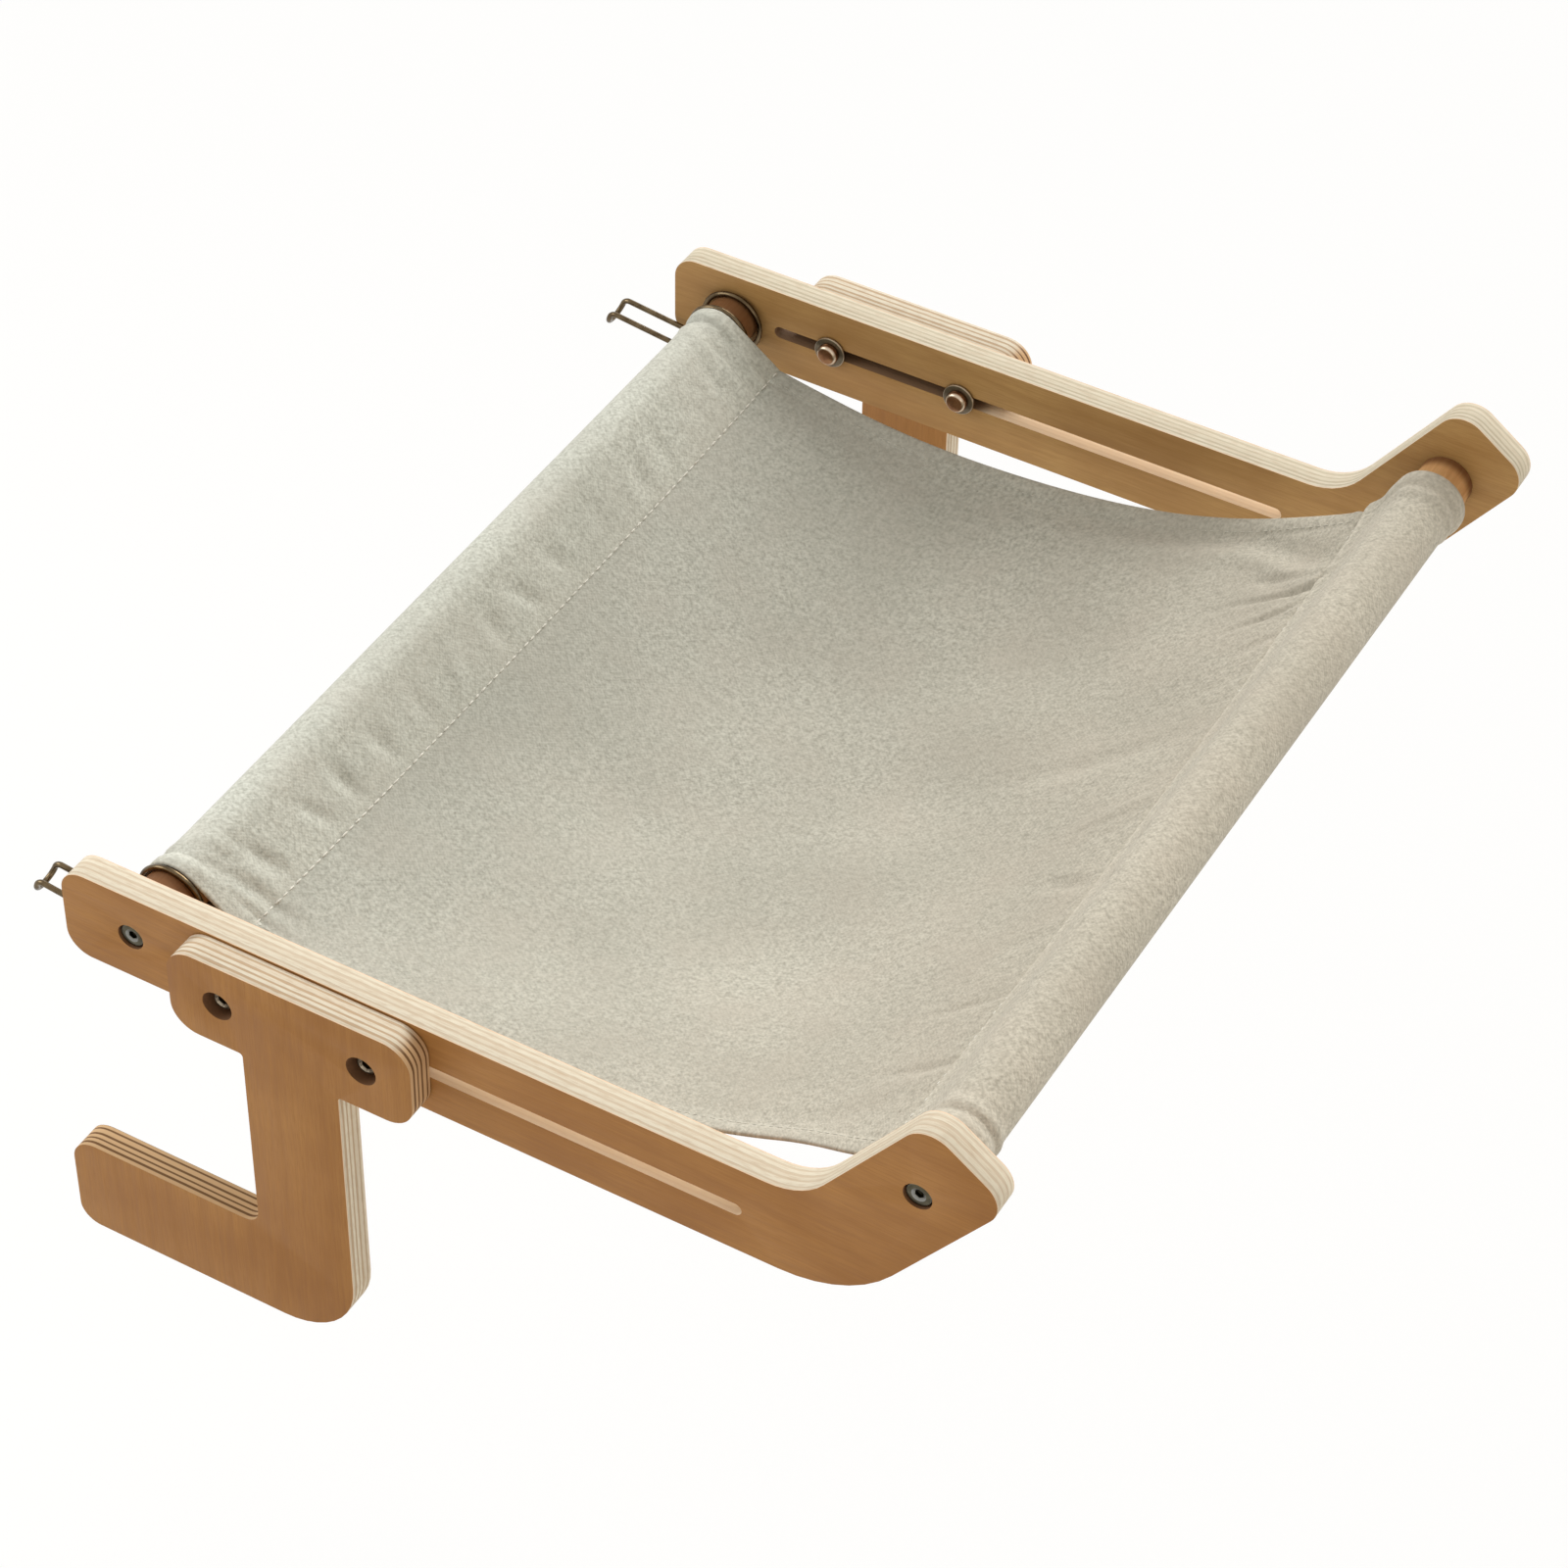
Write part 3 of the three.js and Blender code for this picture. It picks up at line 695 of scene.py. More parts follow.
def lines_object(name, lines):
    """Open lines of points as the edges of one object."""
    spots, edges = [], []
    for points in lines:
        edges += [(len(spots) + i, len(spots) + i + 1) for i in range(len(points) - 1)]
        spots += [tuple(map(float, p)) for p in points]
    mesh = bpy.data.meshes.new(name)
    mesh.from_pydata(spots, edges, [])
    return placed(name, mesh)


DRAWN_WIRE = drawn_wire_tree()
WIRE = plated_steel("bronzed_wire", WIRE_DARK, WIRE_LIGHT, WIRE_LIGHT, 0.20)
for side in ("left", "right"):
    low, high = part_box(f"{side}_wire_clip")
    hub = Vector((high.x - RING_R - WIRE_R, (low.y + high.y) / 2, high.z - RING_R - WIRE_R))
    clip = lines_object(f"{side}_spring_clip", [[Vector(p) + hub for p in clip_line()]])
    with_tree(clip, DRAWN_WIRE, {"Radius": WIRE_R, "Sides": 20, "Finish": WIRE})
    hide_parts(f"{side}_wire_clip")
    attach(clip, f"{side}_clip")

# Canvas sling: one length of heathered cotton canvas, hemmed along both sides, with each end
# turned under round a dowel and stitched down. It hangs in a shallow bowl and puckers at the seams.
CANVAS_T = 0.0010
SLEEVE_PLAY = 0.0005            # between a dowel and the canvas round it
SLING_INSET = 0.035             # from a rail's outer face to the sling's edge
SEAM_REAR = 0.040               # from a dowel's axis to its seam
SEAM_FRONT = 0.038
REAR_FALL = (12, 28)            # degrees below level where the canvas leaves, at the edges and mid-width
FRONT_FALL = (32, 40)
REAR_MOUTH = (0.0014, 0.016)    # how far a sleeve's mouth flares off the dowel, and how far in that reaches
FRONT_MOUTH_FAR = (0.0030, 0.020)
FRONT_MOUTH_NEAR = (0.0016, 0.020)
FLAP_DROP = 0.00115             # from the canvas down to the turned end that lies under it
HEM = 0.010
HEM_EXTRA = 0.0009
HEM_STITCHED = 0.0082           # from the sling's edge to the hem's stitches
NEAR_PULL = 0.006               # by which the front sleeve's near end is pulled toward its rail

rear_low, rear_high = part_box("rear_dowel")
front_low, front_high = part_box("front_dowel")
rails_low, rails_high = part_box("left_side_rail")[0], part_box("right_side_rail")[1]
REAR_AXIS = np.array([(rear_low.x + rear_high.x) / 2, (rear_low.z + rear_high.z) / 2])
FRONT_AXIS = np.array([(front_low.x + front_high.x) / 2, (front_low.z + front_high.z) / 2])
DOWEL_R = (rear_high.x - rear_low.x) / 2
MID_Y = (rails_low.y + rails_high.y) / 2
HALF_W = (rails_high.y - rails_low.y) / 2 - SLING_INSET

# The rows across the sling lie close together by a hem, where its ridges are, and wide at mid-width.
BY_HEM = [0, 0.001, 0.0025, 0.0045, 0.0065, HEM_STITCHED, 0.0095, 0.0105, 0.012]
BY_HEM += [0.014, 0.016, 0.0185, 0.021, 0.024]
past_hem = np.arange(0.0262, 0.1110, 0.0022)
to_middle = np.linspace(0.1110, HALF_W, 33)[1:]
from_edge = np.concatenate([BY_HEM, past_hem, to_middle])
across = np.concatenate([-HALF_W + from_edge, (HALF_W - from_edge)[-2::-1]])
inward = HALF_W - np.abs(across)
share = across / HALF_W


def on_circle(axis, radius, angle):
    """Points of shape (samples, rows, 2) on circles whose radius changes from row to row."""
    return axis + radius[None, :, None] * np.stack([np.cos(angle), np.sin(angle)], axis=-1)


def straight(a, b, samples):
    """A straight run of points, closer together at its start."""
    t = np.linspace(0, 1, samples)[:, None, None] ** 1.4
    return a[None] * (1 - t) + b[None] * t


def fallen(edge_and_middle):
    edge, centre = edge_and_middle
    return np.radians(centre + (edge - centre) * share ** 2)


rear_angle, front_angle = -fallen(REAR_FALL), np.pi + fallen(FRONT_FALL)
rear_out = np.stack([np.cos(rear_angle), np.sin(rear_angle)], axis=-1)
front_out = np.stack([np.cos(front_angle), np.sin(front_angle)], axis=-1)
rear_seam = REAR_AXIS + SEAM_REAR * rear_out
front_seam = FRONT_AXIS + SEAM_FRONT * front_out


def flare(by, reach):
    return by * (1 - soft_step(inward, 0.0, reach))


sleeve_r = DOWEL_R + SLEEVE_PLAY + CANVAS_T / 2
rear_r = sleeve_r + flare(*REAR_MOUTH)
front_r = sleeve_r + np.where(across > 0, flare(*FRONT_MOUTH_FAR), flare(*FRONT_MOUTH_NEAR))


def sleeve(axis, radius, seam, side):
    """Top line and arc of a sleeve, from its seam up and over the dowel, and on to the underside."""

    def touches(spot, way):
        """The angle at which a straight line from a spot touches the sleeve's circle."""
        away = spot - axis
        return np.arctan2(away[:, 1], away[:, 0]) + way * np.arccos(radius / np.hypot(away[:, 0], away[:, 1]))

    below = seam - np.array([0, FLAP_DROP])
    begin, finish = touches(seam, side), touches(below, -side)
    turn = (finish - begin) % math.tau if side > 0 else -((begin - finish) % math.tau)
    steps = np.linspace(0, 1, 26)[:, None]
    arc = on_circle(axis, radius, begin[None] + steps * turn[None])
    return straight(seam, arc[0], 17), arc, straight(below, arc[-1], 10)[::-1]


rear_top, rear_arc, rear_under = sleeve(REAR_AXIS, rear_r, rear_seam, 1)
front_top, front_arc, front_under = sleeve(FRONT_AXIS, front_r, front_seam, -1)

# The panel hangs between the seams as a parabola that leaves each along its sleeve's middle. Its
# stations lie closer together by the seams.
cross = rear_out[:, 0] * front_out[:, 1] - rear_out[:, 1] * front_out[:, 0]
gap = front_seam - rear_seam
reach = (gap[:, 0] * front_out[:, 1] - gap[:, 1] * front_out[:, 0]) / cross
lowest = rear_seam + rear_out * reach[:, None]
even = np.linspace(0, 1, 151)
t = (even - 0.12 * np.sin(math.tau * even))[:, None, None]
panel = (1 - t) ** 2 * rear_seam[None] + 2 * t * (1 - t) * lowest[None] + t ** 2 * front_seam[None]

runs = [rear_under[::-1], rear_arc[::-1][1:], rear_top[::-1][1:], panel[1:]]
runs += [front_top[1:], front_arc[1:], front_under[1:]]
line = np.concatenate(runs)
seam_at = [sum(len(r) for r in runs[:3]) - 1, sum(len(r) for r in runs[:4]) - 1]
steps = np.hypot(*np.moveaxis(np.diff(line, axis=0), -1, 0))
along = np.concatenate([np.zeros((1, len(across))), np.cumsum(steps, axis=0)])
past_rear = along - along[seam_at[0]]
past_front = along - along[seam_at[1]]
panel_share = np.clip(past_rear / (along[seam_at[1]] - along[seam_at[0]]), 0, 1)
from_far = HALF_W - across[None, :]
from_near = HALF_W + across[None, :]


def bell(value, top_at, width):
    return np.exp(-0.5 * ((value - top_at) / width) ** 2)


def narrow_bell(value, top_at, width):
    return np.exp(-((value - top_at) / width) ** 2)


def bells(value, forms, shape=bell):
    """Ridges and grooves side by side, each as its height, its place and its half width."""
    return sum(height * shape(value, top_at, width) for height, top_at, width in forms)


def pucker(row_at, distance, lean, centre, width, length, depth, from_side=from_far):
    """A short crease that leans across a seam's square, with a low ridge at each side."""
    q = (from_side - row_at - lean * (distance - centre)) / width
    return -depth * (1 - 0.55 * q ** 2) * np.exp(-0.5 * q ** 2) * bell(distance, centre, length)


# Creases between the rear dowel and its seam: millimetres from the sling's far edge, lean as a
# slope, and depth in millimetres.
REAR_PUCKERS = (
    (96, 0.2, 0.72), (118, 0.3, 1.8), (158, 0.0, 0.84), (196, -0.3, 1.44),
    (227, -0.45, 1.68), (255, 0.0, 1.68), (291, 0.6, -1.2), (322, 0.1, 0.84),
    (355, -0.17, 1.8), (387, -0.12, 1.92), (413, -0.5, 1.2), (453, -0.3, 1.68),
)
# Creases on the panel beside the front seam, with their middle's distance past the seam, half
# width and half length in millimetres too. The longest run out from the far corner.
FRONT_PUCKERS = (
    (50, 0.0, 1.215, -14, 3.0, 20), (64, -0.17, 2.295, -14, 2.3, 20), (82, -0.42, 1.62, -15, 2.2, 14),
    (108, -0.4, 0.81, -14, 3.0, 12), (136, -0.45, 0.81, -16, 3.4, 14), (190, -0.28, 1.215, -66, 7.0, 28),
    (235, -0.43, -1.215, -22, 3.6, 14), (252, -0.4, 0.81, -16, 3.2, 12), (293, 0.2, 1.89, -25, 3.8, 11),
    (338, -0.3, 0.675, -14, 3.2, 12), (385, -0.3, 0.945, -16, 3.2, 14), (432, -0.2, 0.945, -14, 3.2, 14),
)
# Creases where the canvas comes off the front dowel, with the same values.
DOWEL_PUCKERS = (
    (287, 0.0, 1.215, 30, 5.0, 3.0), (318, 0.0, 1.215, 30, 6.0, 3.0), (160, 0.0, 0.675, 30, 6.0, 3.0),
)
REAR_PUCKER = (-0.0185, 0.0046, 0.0068)     # middle's distance past the seam, half width and half length
chance = np.random.default_rng(11)
lift = np.zeros_like(along)
for row_at, lean, depth in REAR_PUCKERS:
    lift += pucker(row_at / 1000, past_rear, lean, *REAR_PUCKER, depth / 1000)
for row_at, lean, depth, centre, width, length in FRONT_PUCKERS + DOWEL_PUCKERS:
    lift += pucker(row_at / 1000, past_front, lean, centre / 1000, width / 1000, length / 1000, depth / 1000)

# Fine creases beside both seams, as (from the seam, leans, middles, half width and length, depths).
FINE_PUCKERS = (
    (past_rear, (-0.5, 0.4), (-0.026, -0.008), (0.0036, 0.006), (0.0001, 0.0003)),
    (past_front, (-0.6, 0.0), (-0.018, 0.010), (0.0032, 0.007), (0.0001, 0.0004)),
)
for _ in range(26):
    for distance, leans, middles, spread, depths in FINE_PUCKERS:
        row_at = chance.uniform(0.02, 2 * HALF_W - 0.02)
        lean, centre = chance.uniform(*leans), chance.uniform(*middles)
        lift += pucker(row_at, distance, lean, centre, *spread, chance.uniform(*depths))

# The seams draw in unevenly, deepest along the far half of the front one, and the panel keeps
# the shallow waves of a used cloth.
SEAM_GROOVES = ((past_rear, 0.00025, 0.0020), (past_front, 0.00200, 0.0014))    # depth and half width
GROOVE_BANKS = (0.35, 0.0045, 0.0024)       # height as a share of the depth, distance and half width
BESIDE_FRONT_SEAM = ((0.0009, 0.0070, 0.0030), (-0.0008, 0.0165, 0.0050))
GATHERS = 0.00013               # height of the fine waves along a seam
GATHER_PITCH = 0.0098
GATHER_REACH = 0.006            # from the seam, over which they die away
PANEL_WAVE = 0.00045            # height of the panel's own waves
in_and_out = np.sin(from_far * math.tau / 0.037 + 1.1) * np.sin(from_far * math.tau / 0.091 + 0.4)
uneven = (0.55 + 0.45 * in_and_out) * (1 - 0.5 * soft_step(from_far, 0.15, 0.40))
for distance, size, width in SEAM_GROOVES:
    lift -= size * uneven * narrow_bell(distance, 0, width)
    lift += size * uneven * bells(np.abs(distance), [GROOVE_BANKS], narrow_bell)
    lift += GATHERS * np.sin(from_far * math.tau / GATHER_PITCH) * np.exp(-np.abs(distance) / GATHER_REACH)
# The strip past the front seam stands proud of its sleeve, with a valley before the dowel.
lift += bells(past_front, BESIDE_FRONT_SEAM, narrow_bell)
on_panel = np.sin(np.pi * panel_share) ** 0.7
for _ in range(9):
    wide, long = chance.uniform(0.09, 0.20), chance.uniform(0.12, 0.30)
    phase_a, phase_b = chance.uniform(0, math.tau, 2)
    wave = np.sin(across[None] * math.tau / wide + phase_a) * np.sin(past_rear * math.tau / long + phase_b)
    lift += PANEL_WAVE * wave * on_panel

# Beside the hems the pull between the corners leaves a trough, which runs out from the front
# corners across the panel, and two short arcs of it at the rear corners.
TROUGH_SIZES = ((from_far, 1.0), (from_near, 0.22))
TROUGH_DEPTH, SECOND_DEPTH = 0.0026, 0.0011
TROUGH_AT, SECOND_AT = (0.0145, 0.022), (0.034, 0.030)      # from the edge, and by how much they run out
TROUGH_WIDTH = (0.0055, 0.004)  # half width, and by how much it widens
SECOND_WIDTH = 0.006
TROUGH_BANK = (0.0009, 0.014, 0.006)        # height, distance past the trough and half width
REAR_ARCS = ((0.0007, 0.0055, 0.0028), (-0.0009, 0.0125, 0.0026), (0.0006, 0.0195, 0.0035))
ARC_BOW = 0.010
runs_out = soft_step(panel_share, 0.80, 1.0)
trough_at, second_at, trough_width = (a + b * runs_out for a, b in (TROUGH_AT, SECOND_AT, TROUGH_WIDTH))
strength = soft_step(panel_share, 0.30, 0.80) * (1 - soft_step(past_front, -0.004, 0.010))
late = soft_step(panel_share, 0.66, 0.92) * (1 - soft_step(past_front, -0.004, 0.006))
at_rear = soft_step(past_rear, -0.070, -0.040) * (1 - soft_step(past_rear, -0.006, 0.030))
for from_side, size in TROUGH_SIZES:
    lift -= size * TROUGH_DEPTH * strength * bell(from_side, trough_at, trough_width)
    lift += size * strength * bells(from_side - trough_at, [TROUGH_BANK])
    lift -= size * SECOND_DEPTH * late * bell(from_side, second_at, SECOND_WIDTH)
    bowed = from_side - ARC_BOW * soft_step(past_rear, -0.045, 0.0)
    lift += at_rear * bells(bowed, REAR_ARCS)

# Folds run down the rear band from the sleeve's mouth at each end.
MOUTH_FOLDS = ((0.019, 0.49, -0.040, 0.0036, 0.015, 0.0011), (0.021, 0.0, -0.024, 0.0030, 0.010, 0.0009),
               (0.037, 0.3, -0.026, 0.0040, 0.012, 0.0007))
for from_side, size in ((from_far, 1.0), (from_near, 0.7)):
    for row_at, lean, centre, width, length, depth in MOUTH_FOLDS:
        lift += pucker(row_at, past_rear, lean, centre, width, length, size * depth, from_side)

# Each hem is a little proud of the canvas beside it, with a groove along its stitches, and
# curls up along the panel.
HEM_CURLS = ((from_far, 0.0006), (from_near, 0.0018))
HEM_RIDGES = ((0.00030, 0.0040, 0.0030), (-0.00032, 0.0104, 0.0012))
between = soft_step(panel_share, 0.0, 0.10) * (1 - soft_step(panel_share, 0.88, 1.0))
for from_side, size in HEM_CURLS:
    lift += size * between * narrow_bell(from_side, 0, HEM)
lift += bells(inward, HEM_RIDGES, narrow_bell)

# Each sleeve's mouth has its hem turned in, which shows as a crease round the dowel.
MOUTH_CREASES = ((0.00085, 0.0135, 0.0021), (-0.00075, 0.0088, 0.0018))
on_sleeves = 1 - soft_step(past_rear, -0.045, -0.036) + soft_step(past_front, 0.032, 0.042)
lift += on_sleeves * bells(inward, MOUTH_CREASES)


def normals_of(points):
    lengthways = np.gradient(points, axis=0)
    sideways = np.gradient(points, axis=1)
    n = np.cross(lengthways, sideways)
    return n / np.linalg.norm(n, axis=-1, keepdims=True)


# The near end of the front sleeve is pulled a little toward its rail.
pulled = NEAR_PULL * soft_step(past_front, -0.060, 0.0) * np.clip(-share, 0, 1)[None] ** 3
middle_sheet = np.stack([line[..., 0], MID_Y + across[None] - pulled, line[..., 1]], axis=-1)
outward = normals_of(middle_sheet)
middle_sheet = middle_sheet + outward * lift[..., None]
outward = normals_of(middle_sheet)

# The turned ends lie under the panel, each a few millimetres past its seam.
flaps = []
for seam, step in ((seam_at[0], 1), (seam_at[1], -1)):
    rows = [seam + step * k for k in (12, 8, 4)]
    flaps.append(middle_sheet[rows] - outward[rows] * FLAP_DROP)
sheet = np.concatenate([flaps[0], middle_sheet, flaps[1][::-1]])
outward = normals_of(sheet)
step_y = np.array([0, 1.0, 0])

top_off = np.full(len(across), CANVAS_T / 2)
under_off = CANVAS_T / 2 + HEM_EXTRA * (1 - soft_step(inward, HEM - 0.0005, HEM + 0.0005))
rim_r = (top_off[0] + under_off[0]) / 2
rim_middle = (top_off[0] - under_off[0]) / 2
over = sheet + outward * top_off[None, :, None]
under = sheet - outward * under_off[None, :, None]


def rim(row, away):
    """The rounded edge of a hem, between the top and the underside of one edge row."""
    line = []
    for turn in np.radians([45, 90, 135]):
        raised = outward[:, row] * (rim_middle + rim_r * math.cos(turn))
        line.append(sheet[:, row] + raised + step_y * away * rim_r * math.sin(turn))
    return np.stack(line, axis=1)


near_rim, far_rim = rim(0, -1)[:, ::-1], rim(-1, 1)
around = np.concatenate([over, far_rim, under[:, ::-1], near_rim], axis=1)
stations, ring_count, rows = around.shape[0], around.shape[1], len(across)
index = np.arange(stations * ring_count).reshape(stations, ring_count)
nexts = np.roll(index, -1, axis=1)
quads = np.stack([index[:-1], index[1:], nexts[1:], nexts[:-1]], axis=-1).reshape(-1, 4)
caps = []
rim_count = near_rim.shape[1]
for station, flip in ((0, False), (stations - 1, True)):
    strip = index[station]
    lower = strip[rows + rim_count:2 * rows + rim_count][::-1]
    for j in range(rows - 1):
        face = (strip[j], strip[j + 1], lower[j + 1], lower[j])
        caps.append(face[::-1] if flip else face)
    far = [strip[rows - 1], *strip[rows:rows + rim_count], lower[rows - 1]]
    near = [lower[0], *strip[2 * rows + rim_count:], strip[0]]
    caps += [tuple(far[::-1] if flip else far), tuple(near[::-1] if flip else near)]
faces = quads.tolist() + [tuple(map(int, cap)) for cap in caps]
cloth_mesh = bpy.data.meshes.new("canvas_sheet")
cloth_mesh.from_pydata(around.reshape(-1, 3).tolist(), [], faces)
face_outward(cloth_mesh)
sling = placed("canvas_sheet", cloth_mesh)

# The weave follows the canvas by its own lengths, in metres, along and across the sling.
lengths = np.linalg.norm(np.diff(sheet[:, rows // 2], axis=0), axis=-1)
lengthways = np.concatenate([[0], np.cumsum(lengths)])
rim_places = [np.full(rim_count, across[end]) for end in (-1, 0)]
row_place = np.concatenate([across, rim_places[0], across[::-1], rim_places[1]])
places = np.stack([np.repeat(lengthways, ring_count), np.tile(row_place, stations)], axis=-1)
loop_vertices = np.empty(len(cloth_mesh.loops), dtype=np.int32)
cloth_mesh.loops.foreach_get("vertex_index", loop_vertices)
uv_map = cloth_mesh.uv_layers.new(name="UVMap")
uv_map.data.foreach_set("uv", places[loop_vertices].astype(np.float32).ravel())

# Light is painted on the canvas as a paler colour: most on the turned ends and the strip past the
# front seam, less on the rear sleeve and least on the rest of the front one.
on_rear = 0.80 * soft_step(-past_rear, -0.0005, 0.0015)
on_front = soft_step(past_front, -0.0005, 0.0015) * (1 - 0.60 * soft_step(past_front, 0.0065, 0.0105))
on_flap = np.ones((len(flaps[0]), rows))
painted_light = np.concatenate([on_flap, np.maximum(on_rear, on_front), on_flap])
rim_painted_light = np.repeat(painted_light[:, :1], rim_count, axis=1)
painted_light = np.concatenate([painted_light, rim_painted_light, painted_light[:, ::-1], rim_painted_light], axis=1)
paint(cloth_mesh, "painted_light", painted_light.ravel())

CANVAS_LIGHT = (0.721, 0.704, 0.613, 1)
CANVAS_DARK = (0.445, 0.430, 0.363, 1)
CANVAS_ROSE = (0.615, 0.570, 0.488, 1)
CANVAS_NEP = (0.240, 0.210, 0.165, 1)
UNLIT_CANVAS = (0.790, 0.786, 0.781, 1)   # how dark the canvas is where no light is painted, against the palest
COOL_LIGHT_TINT = (0.965, 1.010, 1.055, 1)    # painted as cooler light toward the window
WARM_LIGHT_TINT = (1.020, 0.985, 0.970, 1)
LIGHT_TINT_SPAN = (0.12, 0.50)                   # lengths along the cloth between which one turns into the other
THREAD_PITCH = 0.00110


def weave_group():
    """Threads, grains and neps of a raw canvas from a UV map in metres."""
    tree, start, end = node_group(
        "raw_canvas",
        [("Vector", "Vector"), ("Pitch", "Float")],
        [("Threads", "Float"), ("Grain", "Float"), ("Heather", "Float"), ("Neps", "Float")],
    )
    place, pitch = start.outputs[:2]
    jitter = node(tree, "ShaderNodeTexNoise", {"Vector": place, "Scale": 160.0, "Detail": 2.0})
    bends = {0: jitter.outputs["Color"], 1: (0.0014, 0.0014, 0)}
    warp = node(tree, "ShaderNodeVectorMath", bends, operation="MULTIPLY")
    bent = node(tree, "ShaderNodeVectorMath", {0: place, 1: warp.outputs[0]}, operation="ADD")
    split = node(tree, "ShaderNodeSeparateXYZ", {0: bent.outputs[0]})
    half_turn = sums("DIVIDE", math.pi, pitch)
    waves = [sums("SINE", times(split.outputs[i], half_turn)) for i in (0, 1)]
    threads = times(*waves)
    neps = node(tree, "ShaderNodeTexVoronoi", {"Vector": place, "Scale": 52.0})
    rare = node(tree, "ShaderNodeSeparateXYZ", {0: neps.outputs["Color"]})
    nep = times(ranged(neps.outputs["Distance"], 0.022, 0.036, 1.0, 0.0),
                sums("GREATER_THAN", rare.outputs[0], 0.55))
    grain, heather = noise(place, 520.0, 3.0, 0.55), noise(place, 210.0, 3.0, 0.6)
    return give_out(tree, end, threads, grain, heather, nep)


RAW_CANVAS = weave_group()


def canvas():
    material, tree, surface = new_material("heathered_canvas")
    place = node(tree, "ShaderNodeUVMap", uv_map="UVMap").outputs[0]
    weave = placed_group(tree, RAW_CANVAS, {0: place, 1: THREAD_PITCH}).outputs
    tone = plus(times(weave["Grain"], 0.62), times(weave["Heather"], 0.38))
    colour = mixed(ranged(tone, 0.36, 0.60), CANVAS_DARK, CANVAS_LIGHT)
    rosy = ranged(noise(place, 24.0, 3.0), 0.42, 0.72, 0.0, 0.45)
    cloudy = ranged(noise(place, 9.0, 3.0), 0.40, 0.68, 0.0, 0.34)
    colour = mixed(cloudy, mixed(rosy, colour, CANVAS_ROSE), CANVAS_DARK)
    colour = mixed(times(weave["Neps"], 0.6), colour, CANVAS_NEP)
    # Painted light: the canvas is paler where the attribute says so.
    colour = mixed(rest_of(painted(tree, "painted_light")), colour, UNLIT_CANVAS, "MULTIPLY")
    # Painted light: cooler toward the rear end and warmer toward the front.
    from_rear_end = node(tree, "ShaderNodeSeparateXYZ", {0: place}).outputs[0]
    light_tint = mixed(ranged(from_rear_end, *LIGHT_TINT_SPAN), COOL_LIGHT_TINT, WARM_LIGHT_TINT)
    fill(surface, {"Base Color": mixed(1.0, colour, light_tint, "MULTIPLY"),
                   "Roughness": ranged(weave["Heather"], 0.3, 0.7, 0.86, 0.98),
                   "Sheen Weight": 0.10, "Specular IOR Level": 0.25})
    fluff = plus(weave["Grain"], times(weave["Heather"], 0.9))
    finish_bump(tree, surface, plus(times(weave["Threads"], 0.10), fluff), 0.38, 0.0007)
    return material


sling.data.materials.append(canvas())
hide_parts("canvas_sling")
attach(sling, "frame")

# Stitches: pale cotton thread in straight lock stitches, one row across each seam and one
# along each hem, on the upper side and the underside.
THREAD_R = 0.00048
FRONT_THREAD_R = 0.00036        # the front seam's thread is drawn deeper into the canvas
HEM_THREAD_R = 0.00020
SEAM_PROUD = 0.00012            # from the canvas to the stitches' middle line
HEM_PROUD = 0.0001
SEAM_STITCH = 0.0056            # pitch
HEM_STITCH = 0.0045
REAR_SHOWS, FRONT_SHOWS, HEM_SHOWS = 0.76, 0.50, 0.72       # share of each pitch that lies on top
THREAD_COLOUR = (0.860, 0.845, 0.775, 1)
HEM_THREAD_COLOUR = (0.700, 0.684, 0.610, 1)


def stitch_tree():
    """Lays short rounded stitches end to end along the object's own lines."""
    sockets = (("Pitch", "Float"), ("Length", "Float"), ("Radius", "Float"), ("Seed", "Int"))
    tree, start, end = geometry_tree("lock_stitches", sockets)
    lines = node(tree, "GeometryNodeMeshToCurve", {"Mesh": start["Geometry"]}).outputs[0]
    spots = node(tree, "GeometryNodeCurveToPoints", {"Curve": lines, "Length": start["Pitch"]}, mode="LENGTH")
    tips = [node(tree, "ShaderNodeCombineXYZ", {0: times(start["Length"], way)}) for way in (-0.5, 0.5)]
    strand = {"Start": tips[0].outputs[0], "End": tips[1].outputs[0]}
    strand = {"Curve": node(tree, "GeometryNodeCurvePrimitiveLine", strand).outputs[0], "Count": 7}
    strand = node(tree, "GeometryNodeResampleCurve", strand).outputs[0]
    swing = times(node(tree, "GeometryNodeSplineParameter").outputs[0], math.pi)
    bulge = sums("MAXIMUM", sums("POWER", sums("SINE", swing), 0.45), 0.25)
    turn = node(tree, "FunctionNodeAlignRotationToVector", {"Vector": spots.outputs["Tangent"]}, axis="X")
    range_of = {0: (0.72, 0.8, 0.8), 1: (1.12, 1.1, 1.1), "Seed": start["Seed"]}
    uneven = node(tree, "FunctionNodeRandomValue", range_of, data_type="FLOAT_VECTOR")
    stitch = swept(tree, strand, 8, start["Radius"], bulge)
    copied = {"Points": spots.outputs[0], "Instance": stitch}
    copied.update({"Rotation": turn.outputs[0], "Scale": uneven.outputs[0]})
    dress(tree, node(tree, "GeometryNodeInstanceOnPoints", copied).outputs[0], start, end)
    return tree


